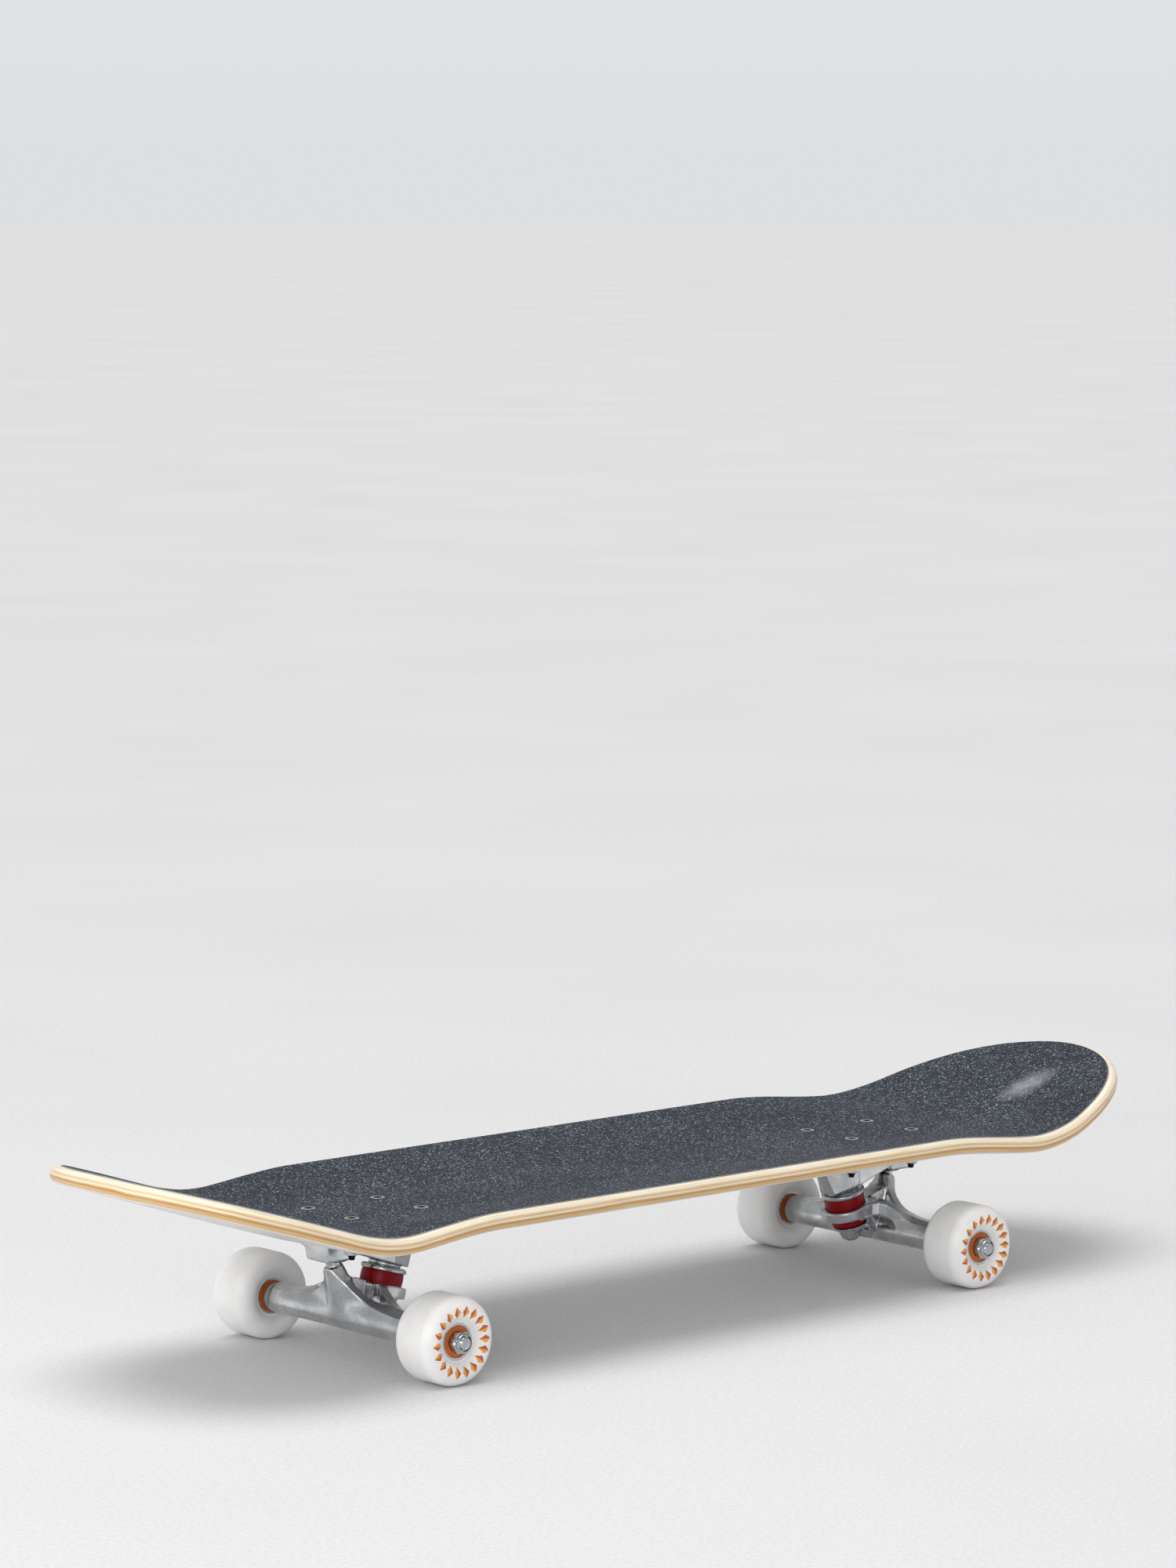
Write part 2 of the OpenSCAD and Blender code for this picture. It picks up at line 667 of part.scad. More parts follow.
wheel(1, 1);  // front_left_wheel
outer_races(1, 1);  // front_left_outer_races
inner_races(1, 1);  // front_left_inner_races
bearing_balls(1, 1);  // front_left_balls
cages(1, 1);  // front_left_cages
shields(1, 1);  // front_left_shields

wheel(1, -1);  // front_right_wheel
outer_races(1, -1);  // front_right_outer_races
inner_races(1, -1);  // front_right_inner_races
bearing_balls(1, -1);  // front_right_balls
cages(1, -1);  // front_right_cages
shields(1, -1);  // front_right_shields

wheel(-1, 1);  // rear_left_wheel
outer_races(-1, 1);  // rear_left_outer_races
inner_races(-1, 1);  // rear_left_inner_races
bearing_balls(-1, 1);  // rear_left_balls
cages(-1, 1);  // rear_left_cages
shields(-1, 1);  // rear_left_shields

wheel(-1, -1);  // rear_right_wheel
outer_races(-1, -1);  // rear_right_outer_races
inner_races(-1, -1);  // rear_right_inner_races
bearing_balls(-1, -1);  // rear_right_balls
cages(-1, -1);  // rear_right_cages
shields(-1, -1);  // rear_right_shields
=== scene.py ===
# %% [markdown]
# # A street skateboard
# The working model comes from CAD: every bolt, bearing and axle already has its place and its joint.
# This lesson dresses it. Round parts are turned on a lathe function, the castings are grown from
# blended distance fields, and the deck is a lofted sheet. Each finish is named for the real one.

# %% Load the working model
import json
import math

import bmesh
import bpy
import numpy as np
from mathutils import Matrix, Vector


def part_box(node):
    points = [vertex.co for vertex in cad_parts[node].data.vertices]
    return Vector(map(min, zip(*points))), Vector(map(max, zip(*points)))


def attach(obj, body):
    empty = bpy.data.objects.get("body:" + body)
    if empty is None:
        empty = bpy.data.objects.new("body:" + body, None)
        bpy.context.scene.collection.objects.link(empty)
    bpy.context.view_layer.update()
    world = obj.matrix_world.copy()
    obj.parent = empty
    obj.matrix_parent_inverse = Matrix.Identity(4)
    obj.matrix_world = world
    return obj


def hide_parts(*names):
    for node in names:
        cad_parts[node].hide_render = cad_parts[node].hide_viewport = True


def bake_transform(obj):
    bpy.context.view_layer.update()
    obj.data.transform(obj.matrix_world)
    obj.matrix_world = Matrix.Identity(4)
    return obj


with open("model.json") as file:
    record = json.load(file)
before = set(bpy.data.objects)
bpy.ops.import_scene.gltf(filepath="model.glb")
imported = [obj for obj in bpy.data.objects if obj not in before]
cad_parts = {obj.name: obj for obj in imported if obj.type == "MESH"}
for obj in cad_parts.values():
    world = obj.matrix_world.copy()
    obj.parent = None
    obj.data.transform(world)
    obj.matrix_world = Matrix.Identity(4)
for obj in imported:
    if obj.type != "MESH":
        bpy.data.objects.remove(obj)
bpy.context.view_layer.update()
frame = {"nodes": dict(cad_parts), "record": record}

MM = 0.001

# %% [markdown]
# ## The camera
# A long lens from about three and a half metres keeps the board's two ends close in size.
# The camera stands by the tail, on the right side of the board, a little above it. Its place is given
# as a point, a turn, a tilt and a small roll, and its axes are worked out from those.

# %% Camera
CAMERA_AT = Vector((-2.3146, -2.5710, 0.7268))
CAMERA_TURN = math.radians(-41.63)
CAMERA_TILT = math.radians(6.50)
CAMERA_ROLL = math.radians(0.23)
LENS_MM, SENSOR_MM, SIGHT = 128.6, 36, 50

level = Vector((math.cos(CAMERA_TURN), math.sin(CAMERA_TURN), 0))
back = Vector((math.sin(CAMERA_TURN) * math.cos(CAMERA_TILT),
               -math.cos(CAMERA_TURN) * math.cos(CAMERA_TILT), math.sin(CAMERA_TILT)))
upright = back.cross(level)
right = level * math.cos(CAMERA_ROLL) + upright * math.sin(CAMERA_ROLL)
up = upright * math.cos(CAMERA_ROLL) - level * math.sin(CAMERA_ROLL)

lens = bpy.data.cameras.new("camera")
lens.sensor_fit = "AUTO"
lens.sensor_width = SENSOR_MM
lens.lens = LENS_MM
lens.clip_end = SIGHT
camera = bpy.data.objects.new("camera", lens)
camera.matrix_world = Matrix((right, up, back)).transposed().to_4x4()
camera.matrix_world.translation = CAMERA_AT
bpy.context.scene.collection.objects.link(camera)
bpy.context.scene.camera = camera
print("camera", round(CAMERA_AT.length, 2), "m from the board's middle")

# %% [markdown]
# ## Colours and shader nodes
# Colours are picked as sRGB hex values, and Blender mixes light in linear values, so one function
# turns one into the other. A second one adds any shader node, with its settings and its wires.

# %% Helpers for materials
def colour(hex_code):
    """An sRGB hex value as linear red, green, blue and alpha."""
    parts = [int(hex_code[i:i + 2], 16) / 255 for i in (1, 3, 5)]
    return tuple(p / 12.92 if p <= 0.04045 else ((p + 0.055) / 1.055) ** 2.4 for p in parts) + (1.0,)


def plug(node, inputs):
    """Gives a node its inputs: a socket is wired, and any other value is set."""
    for name, value in inputs.items():
        if isinstance(value, bpy.types.NodeSocket):
            node.id_data.links.new(value, node.inputs[name])
        else:
            node.inputs[name].default_value = value


def add(material, kind, inputs=None, stops=(), **settings):
    """Adds a shader node and returns its outputs. Stops are the (place, hex) pairs of a ramp."""
    node = material.node_tree.nodes.new("ShaderNode" + kind)
    for name, value in settings.items():
        setattr(node, name, value)
    for _ in stops[2:]:
        node.color_ramp.elements.new(1.0)
    for k, (place, code) in enumerate(stops):
        node.color_ramp.elements[k].position = place
        node.color_ramp.elements[k].color = colour(code)
    plug(node, inputs or {})
    return node.outputs


def finish(name, **surface):
    """A new material whose Principled shader has these values. Returns both."""
    material = bpy.data.materials.new(name)
    material.use_nodes = True
    shader = material.node_tree.nodes["Principled BSDF"]
    plug(shader, {key.replace("_", " "): value for key, value in surface.items()})
    return material, shader


print("middle grey in linear light:", [round(c, 3) for c in colour("#777777")])

# %% [markdown]
# ## Floor and light
# A studio floor is often a sealed screed: pale, matt and faintly sandy. A flat sheet is enough for
# it, and it is very wide, so that its far edge lies at the horizon.

# %% Floor
FLOOR_HALF = 60.0


def screed_floor():
    """Pale sealed screed: matt, with fine sand in it and slow clouds of tone."""
    material, shader = finish("pale sealed screed", Roughness=0.85)
    place = add(material, "TexCoord")["Object"]
    # Sand in the screed shows as specks about 3 mm apart, with clouds of tone some 400 mm across
    sand = add(material, "TexNoise", {"Vector": place, "Scale": 1000 / 3, "Detail": 4.0})["Fac"]
    cloud = add(material, "TexNoise", {"Vector": place, "Scale": 1000 / 400, "Detail": 3.0})["Fac"]
    tone = add(material, "Math", {0: cloud, 1: 0.35, 2: sand}, operation="MULTIPLY_ADD")[0]
    pale = add(material, "ValToRGB", {"Fac": tone}, [(0.45, "#d6d6d7"), (0.90, "#e3e3e4")])["Color"]
    bump = add(material, "Bump", {"Height": sand, "Strength": 0.25, "Distance": 0.6 * MM})["Normal"]
    plug(shader, {"Base Color": pale, "Normal": bump})
    mesh = bpy.data.meshes.new("floor")
    mesh.from_pydata([(x * FLOOR_HALF, y * FLOOR_HALF, 0) for x, y in ((-1, -1), (1, -1), (1, 1), (-1, 1))],
                     [], [(0, 1, 2, 3)])
    mesh.materials.append(material)
    floor = bpy.data.objects.new("floor", mesh)
    bpy.context.scene.collection.objects.link(floor)
    return floor


floor = screed_floor()
print("floor:", [round(d) for d in floor.dimensions[:2]], "m")

# %% [markdown]
# The light is one wide soft source overhead and two low, weak ones in front, in a bright surround.
# It is even enough to show the castings' shapes, and leaves a soft pool of shadow under the deck. The
# overhead one is a sun with a wide angle: its shadow's edge is as soft as a large softbox gives, and
# its strength stays the same from end to end of the board.

# %% Light
SURROUND, SURROUND_SEEN = 0.54, 1.17
SOFTBOX_ANGLE = math.radians(46)
FILL_SIZE = 1.2
LIGHTS = (("overhead softbox", "SUN", (-0.5, 0.1, 4.2), 1.66),
          ("front fill", "AREA", (-2.8, -2.2, 1.1), 22),
          ("side fill", "AREA", (-2.6, 0.3, 0.9), 14))


def bright_surround():
    """A world that is paler where it is seen, so that it meets the floor without a dark band."""
    world = bpy.data.worlds.new("bright surround")
    bpy.context.scene.world = world
    world.use_nodes = True
    height = add(world, "SeparateXYZ", {"Vector": add(world, "TexCoord")["Generated"]})["Z"]
    sky = add(world, "ValToRGB", {"Fac": height},
              [(0.0, "#cfd0d2"), (0.12, "#dcdddf"), (0.5, "#ffffff")])["Color"]
    seen = add(world, "LightPath")["Is Camera Ray"]
    strength = add(world, "MapRange", {"Value": seen, "To Min": SURROUND, "To Max": SURROUND_SEEN})["Result"]
    plug(world.node_tree.nodes["Background"], {"Color": sky, "Strength": strength})


def lamp(name, kind, place, power):
    """A soft light at a place in metres, turned to the board."""
    light = bpy.data.lights.new(name, kind)
    light.energy = power
    if kind == "SUN":
        light.angle = SOFTBOX_ANGLE
    else:
        light.size = FILL_SIZE
    item = bpy.data.objects.new(name, light)
    item.location = place
    item.rotation_euler = (-Vector(place)).to_track_quat("-Z", "Y").to_euler()
    bpy.context.scene.collection.objects.link(item)


bright_surround()
for light_row in LIGHTS:
    lamp(*light_row)
bpy.context.scene.view_settings.view_transform = "Standard"

# %% [markdown]
# ## From shapes to pieces
# Every shape below is a set of points in millimetres, a list of faces and, where the finish needs
# them, marks: values that stay on the points when the shape is moved. One function makes a Blender
# object from a shape, and gives it to the CAD body that carries it.

# %% Moving shapes
def move(x, y, z):
    """A matrix that moves a shape, in millimetres."""
    matrix = np.eye(4)
    matrix[:3, 3] = (x, y, z)
    return matrix


def turn(axis, degrees):
    """A matrix that turns a shape about an axis through the origin."""
    return np.array(Matrix.Rotation(math.radians(degrees), 4, axis))


def placed(shape, *matrices):
    """One shape that holds a copy of the given one at each matrix."""
    points, faces = [], []
    count = len(shape["points"])
    for k, matrix in enumerate(matrices):
        points.append(shape["points"] @ matrix[:3, :3].T + matrix[:3, 3])
        faces += [tuple(i + k * count for i in face) for face in shape["faces"]]
    marks = {name: np.tile(values, (len(matrices), 1)) for name, values in shape.get("marks", {}).items()}
    return {"points": np.concatenate(points), "faces": faces, "marks": marks}


print("a quarter turn about Z takes X to", (turn("Z", 90) @ (1, 0, 0, 1))[:3].round(3))

# %% Meshes and pieces
MERGE_WITHIN, DROP_UNDER = 1e-6, 1e-7


def mesh_of(name, shape):
    """A clean mesh in metres: doubled points merged, and every face turned outwards."""
    mesh = bpy.data.meshes.new(name)
    mesh.from_pydata((shape["points"] * MM).tolist(), [], shape["faces"])
    for mark, values in shape.get("marks", {}).items():
        mesh.attributes.new(mark, "FLOAT_VECTOR", "POINT").data.foreach_set("vector", values.ravel())
    work = bmesh.new()
    work.from_mesh(mesh)
    bmesh.ops.remove_doubles(work, verts=work.verts, dist=MERGE_WITHIN)
    bmesh.ops.dissolve_degenerate(work, edges=work.edges, dist=DROP_UNDER)
    bmesh.ops.recalc_face_normals(work, faces=work.faces)
    work.to_mesh(mesh)
    work.free()
    return mesh


def cut_mesh(item, cutter):
    """The item's mesh with the cutter's shape taken out of it."""
    tool = bpy.data.objects.new("cutter", mesh_of("cutter", cutter))
    bpy.context.scene.collection.objects.link(tool)
    boolean = item.modifiers.new("holes", "BOOLEAN")
    boolean.operation = "DIFFERENCE"
    boolean.solver = "EXACT"
    boolean.object = tool
    evaluated = item.evaluated_get(bpy.context.evaluated_depsgraph_get())
    mesh = bpy.data.meshes.new_from_object(evaluated)
    item.modifiers.remove(boolean)
    bpy.data.objects.remove(tool)
    return mesh


def solid_item(name, shape, material, crease, cutter=None):
    """A Blender object for the shape, smooth but for edges sharper than the crease."""
    item = bpy.data.objects.new(name, mesh_of(name, shape))
    bpy.context.scene.collection.objects.link(item)
    if cutter is not None:
        item.data = cut_mesh(item, cutter)
    item.data.materials.clear()
    item.data.materials.append(material)
    item.data.shade_smooth()
    item.data.set_sharp_from_angle(angle=math.radians(crease))
    return item


def piece(name, shape, material, body, stands_for, crease=35, cutter=None):
    """A Blender object for the shape, which rides on a body and stands for CAD nodes."""
    item = solid_item(name, shape, material, crease, cutter)
    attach(item, body)
    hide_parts(*stands_for)
    return item


print("points closer than", MERGE_WITHIN / MM, "mm are merged")

# %% [markdown]
# Wheels, nuts, bolts, washers, bushings and bearings are all turned parts. One lathe function makes
# them from rings, which is quicker than a modifier and keeps each point's place on its own part.

# %% The lathe
def turned(rings, segments=96, closed=False):
    """A shape turned about Z from (radius, height) rings. A third number cuts a ring to a hexagon
    of that size across flats. A closed one joins its last ring to its first."""
    angle = np.arange(segments) * 2 * math.pi / segments
    corner = 1 / np.cos(angle % (math.pi / 3) - math.pi / 6)
    rows = []
    for radius, height, *flats in rings:
        reach = np.full(segments, float(radius))
        if flats:
            reach = np.minimum(reach, flats[0] / 2 * corner)
        rows.append(np.stack([reach * np.cos(angle), reach * np.sin(angle), np.full(segments, height)], -1))
    points = np.concatenate(rows)
    faces = []
    for k in range(len(rings) if closed else len(rings) - 1):
        low, high = k * segments, (k + 1) % len(rings) * segments
        faces += [(low + i, low + (i + 1) % segments, high + (i + 1) % segments, high + i)
                  for i in range(segments)]
    return {"points": points, "faces": faces, "marks": {"local": points * MM}}


def rounded(corners, radius=0.4, steps=3):
    """A closed (radius, height) outline with its corners rounded."""
    outline = []
    for k, corner in enumerate(corners):
        here = np.array(corner, float)
        before = np.array(corners[k - 1], float) - here
        after = np.array(corners[(k + 1) % len(corners)], float) - here
        reach = min(radius, np.linalg.norm(before) / 2.1, np.linalg.norm(after) / 2.1)
        start = here + before / np.linalg.norm(before) * reach
        end = here + after / np.linalg.norm(after) * reach
        for t in np.linspace(0, 1, steps + 1):
            outline.append(tuple((1 - t) ** 2 * start + 2 * t * (1 - t) * here + t ** 2 * end))
    return outline


washer = turned(rounded([(4, 0), (8, 0), (8, -1), (4, -1)]), closed=True)
print("a turned washer has", len(washer["faces"]), "faces")

# %% [markdown]
# ## Places on the trucks
# Both trucks are the same, turned to face each other. A truck is drawn once, from the middle of its
# axle, and a matrix takes it to each end. The CAD boxes give the sizes that the two models share.

# %% Places on the trucks
def box_mm(node):
    """A CAD node's lowest and highest corners, in millimetres."""
    low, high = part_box(node)
    return np.array(low) / MM, np.array(high) / MM


ENDS = {"front": 1, "rear": -1}
SIDES = {"left": 1, "right": -1}
axle_low, axle_high = box_mm("front_axle")
plate_top = box_mm("front_baseplate")[1][2]
AXLE_X, AXLE_Z = (axle_low[0] + axle_high[0]) / 2, (axle_low[2] + axle_high[2]) / 2
TRUCK_H = plate_top - AXLE_Z
AXLE_END = axle_high[1]
TRUCK = {end: turn("Z", 0 if sign > 0 else 180) @ move(AXLE_X, 0, AXLE_Z) for end, sign in ENDS.items()}

# The kingpin's seat on the baseplate, with +Z up the kingpin, and the middle of the pivot's ball
KINGPIN_LEAN, POST_LEAN = math.radians(16), math.radians(18)
SEAT = np.array((-26.6, 0, TRUCK_H - 26.4))
ON_KINGPIN = move(*SEAT) @ turn("Y", -math.degrees(KINGPIN_LEAN))
DOWN_KINGPIN = np.array((math.sin(KINGPIN_LEAN), 0, -math.cos(KINGPIN_LEAN)))
PIVOT = np.array((16, 0, TRUCK_H - 10.9))
UP_POST = np.array((math.sin(POST_LEAN), 0, math.cos(POST_LEAN)))
print("axle:", round(AXLE_X, 1), "mm from the middle and", round(AXLE_Z, 1), "mm up")
print("truck:", round(TRUCK_H, 1), "mm from the axle to the deck")

# %% [markdown]
# ## The deck
# A real deck is seven maple veneers, glued, pressed in a mould and routed round. Its shape is a bent
# and dished sheet, so it is drawn unrolled, as distance s along the middle line, distance y across
# and height h through the plies, and one function folds those into space. The points keep s, y and h
# as a mark, so that the finish can follow each veneer round the bend.

# %% Deck surface
deck_low, deck_high = box_mm("deck")
DECK_HALF_L = (deck_high[0] - deck_low[0]) / 2
DECK_HALF_W = (deck_high[1] - deck_low[1]) / 2
DECK_Z = plate_top
GRIP_TOP = frame["record"]["mounts"][0]["pos_m"][2] / MM
GRIP_T = 0.8
DECK_T = GRIP_TOP - DECK_Z - GRIP_T
EDGE_R = 4.2
GRIP_INSET = 4.4
KICK_R = 181
# The concave: flat in the middle, with rails this high over the trucks and this high on the kicks
FLAT_HALF, RAIL_RISE, TIP_RISE, RISE_POWER = 29, 10.3, 2.6, 1.25
EASE_FROM, EASE_OVER = 185, 95
STATIONS, COLUMNS = 250, 28
NOSE = {"bend": 268, "angle": math.radians(18.4), "taper": 213, "blunt": 3.2}
TAIL = {"bend": 246, "angle": math.radians(18.2), "taper": 216, "blunt": 5.4}


def tip_s(kick):
    """How far a kick's tip is from the middle, measured along the bent board."""
    sine, cosine = math.sin(kick["angle"]), math.cos(kick["angle"])
    reach = DECK_HALF_L + EDGE_R * (cosine + sine - 1) - kick["bend"] - KICK_R * sine
    return kick["bend"] + KICK_R * kick["angle"] + reach / cosine


NOSE_S, TAIL_S = tip_s(NOSE), tip_s(TAIL)


def fold(s, y, h):
    """Points of the deck from their place along it, across it and through it."""
    bend = np.where(s > 0, NOSE["bend"], TAIL["bend"])
    limit = np.where(s > 0, NOSE["angle"], TAIL["angle"])
    beyond = np.maximum(np.abs(s) - bend, 0)
    angle = np.minimum(beyond / KICK_R, limit)
    straight = np.maximum(beyond - KICK_R * limit, 0)
    x = np.minimum(np.abs(s), bend) + KICK_R * np.sin(angle) + straight * np.cos(angle)
    z = KICK_R * (1 - np.cos(angle)) + straight * np.sin(angle)
    ease = np.clip((np.abs(s) - EASE_FROM) / EASE_OVER, 0, 1)
    rise = RAIL_RISE + (TIP_RISE - RAIL_RISE) * ease * ease * (3 - 2 * ease)
    across = np.maximum(np.abs(y) - FLAT_HALF, 0) / (DECK_HALF_W - FLAT_HALF)
    lift = h + rise * across ** RISE_POWER
    return np.stack([np.sign(s) * (x - lift * np.sin(angle)), y, DECK_Z + z + lift * np.cos(angle)], -1)


def half_width(s, inset):
    """Half the deck's width at s, where the outline is drawn in all round by inset."""
    near_nose = np.clip((s - NOSE_S + NOSE["taper"]) / (NOSE["taper"] - inset), 0, 1)
    near_tail = np.clip((TAIL["taper"] - TAIL_S - s) / (TAIL["taper"] - inset), 0, 1)
    narrowing = (1 - near_nose ** NOSE["blunt"]) * (1 - near_tail ** TAIL["blunt"])
    return (DECK_HALF_W - inset) * np.sqrt(np.maximum(narrowing, 0))


def along_board(station, inset):
    """Distance along the board at a station, from 0 at the nose's tip to STATIONS at the tail's."""
    return (NOSE_S - TAIL_S) / 2 + ((NOSE_S + TAIL_S) / 2 - inset) * np.cos(math.pi * station / STATIONS)


def sheet_face(loop, first):
    """The quads of one flat side, from where its rim's points and its inner points start."""
    def at(i, j):
        if i in (0, STATIONS) or j == 0:
            return loop + i
        return loop + 2 * STATIONS - i if j == COLUMNS else first + (i - 1) * (COLUMNS - 1) + j - 1

    return [tuple(dict.fromkeys((at(i, j), at(i, j + 1), at(i + 1, j + 1), at(i + 1, j))))
            for i in range(STATIONS) for j in range(COLUMNS)]


def sheet(edge):
    """A closed sheet over the whole deck: edge lists (inset, height) from its underside to its top."""
    around = 2 * STATIONS
    laid, faces = [], []
    turn_at = np.arange(around)
    station = np.where(turn_at <= STATIONS, turn_at, around - turn_at)
    side = np.where(turn_at <= STATIONS, -1.0, 1.0)
    for inset, height in edge:
        s = along_board(station, inset)
        y = side * half_width(s, inset) * ((station > 0) & (station < STATIONS))
        laid.append(np.stack([s, y, np.full(around, float(height))], -1))
    for k in range(len(edge) - 1):
        faces += [(k * around + i, k * around + (i + 1) % around,
                   (k + 1) * around + (i + 1) % around, (k + 1) * around + i) for i in range(around)]
    first = around * len(edge)
    for loop, (inset, height) in ((0, edge[0]), ((len(edge) - 1) * around, edge[-1])):
        s = along_board(np.arange(1, STATIONS), inset)
        share = np.linspace(-1, 1, COLUMNS + 1)[1:-1]
        y = half_width(s, inset)[:, None] * share[None, :]
        laid.append(np.stack([np.broadcast_to(s[:, None], y.shape), y, np.full(y.shape, float(height))],
                             -1).reshape(-1, 3))
        faces += sheet_face(loop, first)
        first += (STATIONS - 1) * (COLUMNS - 1)
    laid = np.concatenate(laid)
    return {"points": fold(laid[:, 0], laid[:, 1], laid[:, 2]), "faces": faces, "marks": {"laid": laid * MM}}


print("deck", round(2 * DECK_HALF_L), "by", round(2 * DECK_HALF_W, 1), "by", round(DECK_T, 1), "mm")

# %% [markdown]
# The edge was routed round and sanded, so it cuts through all seven veneers. Five have their grain
# along the board and two across it, and each one cuts to its own tone: pale where the knife met long
# grain, browner where it met end grain. The underside is painted white, and a thin line of that
# paint shows below the last veneer.

# %% Maple plies and the deck
# Seven veneers from the painted side up, as shares of the thickness, with dark glue lines between
PLIES = [(0.00, "#e3c293"), (0.13, "#eccf9f"), (0.15, "#cfa772"), (0.17, "#e6c590"), (0.28, "#dfb981"),
         (0.305, "#ae8350"), (0.33, "#cfa56f"), (0.41, "#d6b07b"), (0.435, "#f8eacb"), (0.55, "#fbf2dc"),
         (0.575, "#d9b283"), (0.60, "#eed2ab"), (0.69, "#f1d7b3"), (0.715, "#fcf4e1"), (0.86, "#fdf7e8"),
         (0.88, "#f3e0bd"), (0.90, "#fbf1da"), (1.00, "#fdf8ea")]


def pressed_maple():
    """Seven-ply maple, sanded and lacquered on its edge: satin, striped timber over rolled white paint."""
    material, shader = finish("pressed maple, painted underside", Roughness=0.42, Coat_Weight=0.25,
                              Coat_Roughness=0.25)
    laid = add(material, "Attribute", attribute_name="laid")["Vector"]
    apart = add(material, "SeparateXYZ", {"Vector": laid})
    # Veneer lines wander by a few tenths of a millimetre along the board
    slow = add(material, "Mapping", {"Vector": laid, "Scale": (1000 / 70, 1000 / 25, 0)})["Vector"]
    wander = add(material, "TexNoise", {"Vector": slow, "Scale": 1.0, "Detail": 3.0})["Fac"]
    height = add(material, "Math", {0: wander, 1: 1.2 * MM, 2: apart["Z"]}, operation="MULTIPLY_ADD")[0]
    height = add(material, "Math", {0: height, 1: 0.6 * MM}, operation="SUBTRACT")[0]
    share = add(material, "Math", {0: height, 1: DECK_T * MM}, operation="DIVIDE")[0]
    plies = add(material, "ValToRGB", {"Fac": share}, PLIES)["Color"]
    # Grain: fibres about 0.4 mm thick that run for some 30 mm along the edge
    stretch = add(material, "Mapping", {"Vector": laid,
                                        "Scale": (1000 / 33, 1000 / 33, 1000 / 0.4)})["Vector"]
    fibre = add(material, "TexNoise", {"Vector": stretch, "Scale": 1.0, "Detail": 5.0,
                                       "Roughness": 0.65})["Fac"]
    streaks = add(material, "ValToRGB", {"Fac": fibre},
                  [(0.30, "#b98a58"), (0.46, "#f2e4cd"), (0.66, "#ffffff")])["Color"]
    wood = add(material, "Mix", {0: 0.6, 6: plies, 7: streaks}, data_type="RGBA", blend_type="MULTIPLY")[2]
    # Paint covers the underside and laps a little way round the edge. A roller leaves it thinner in
    # strips about 30 mm wide
    painted = add(material, "Math", {0: height, 1: 0.8 * MM}, operation="LESS_THAN")[0]
    strips = add(material, "Mapping", {"Vector": laid, "Scale": (1000 / 250, 1000 / 30, 0)})["Vector"]
    rolled = add(material, "TexNoise", {"Vector": strips, "Scale": 1.0, "Detail": 6.0})["Fac"]
    paint = add(material, "ValToRGB", {"Fac": rolled}, [(0.30, "#dddcd8"), (0.65, "#ecebe8")])["Color"]
    whole = add(material, "Mix", {0: painted, 6: wood, 7: paint}, data_type="RGBA")[2]
    bump = add(material, "Bump", {"Height": fibre, "Strength": 0.12, "Distance": 0.3 * MM})["Normal"]
    plug(shader, {"Base Color": whole, "Normal": bump})
    return material


def deck_edge():
    """(inset, height) round the routed edge, from the underside to the top."""
    lower = [(EDGE_R * (1 - math.cos(a)), EDGE_R * (1 - math.sin(a)))
             for a in np.radians(np.arange(90, -1, -10))]
    return lower + [(inset, DECK_T - height) for inset, height in reversed(lower)]


bolt_low, bolt_high = box_mm("front_mounting_bolts")
BOLT_R, HEAD_R, HEAD_H = 2.41, 4.6, 2.4
HOLE_R, SINK_R = 2.5, 4.62
BOLT_TOP = GRIP_TOP - AXLE_Z
BOLT_X = [bolt_low[0] + HEAD_R - AXLE_X, bolt_high[0] - HEAD_R - AXLE_X]
BOLT_Y = bolt_high[1] - HEAD_R
BOLT_PLACES = [move(x, side * BOLT_Y, 0) for x in BOLT_X for side in (-1, 1)]
ALL_BOLTS = [TRUCK[end] @ place for end in ENDS for place in BOLT_PLACES]


def bolt_sinks():
    """What the drill and the countersink take out of the deck and the grip tape."""
    low, high = TRUCK_H - 2, BOLT_TOP + 2
    drill = turned([(0, low), (HOLE_R, low), (HOLE_R, BOLT_TOP - HEAD_H), (SINK_R, BOLT_TOP - 0.2),
                    (SINK_R, high), (0, high)], segments=48)
    return placed(drill, *ALL_BOLTS)


deck = piece("deck_plies", sheet(deck_edge()), pressed_maple(), "board", ["deck"],
             crease=40, cutter=bolt_sinks())
print("deck has", len(deck.data.polygons), "faces")

# %% [markdown]
# Grip tape is paper-backed film with silicon carbide grit on it, laid over the deck and cut off
# with a file and a knife. The file leaves a bevel with the grit rubbed pale. Real grit grains are
# about 0.3 mm. They are drawn at 0.8 mm, because finer ones would blur into a flat grey.

# %% Grip tape
# Grain tones from near black to dark grey are the grit's own, and the pale stops at the top are painted
# glints off grain faces
GRIT_TONES_AND_GLINTS = [(0.0, "#1f242b"), (0.45, "#2e343d"), (0.78, "#444b55"), (0.93, "#787f89"), (1.0, "#ccd1d6")]


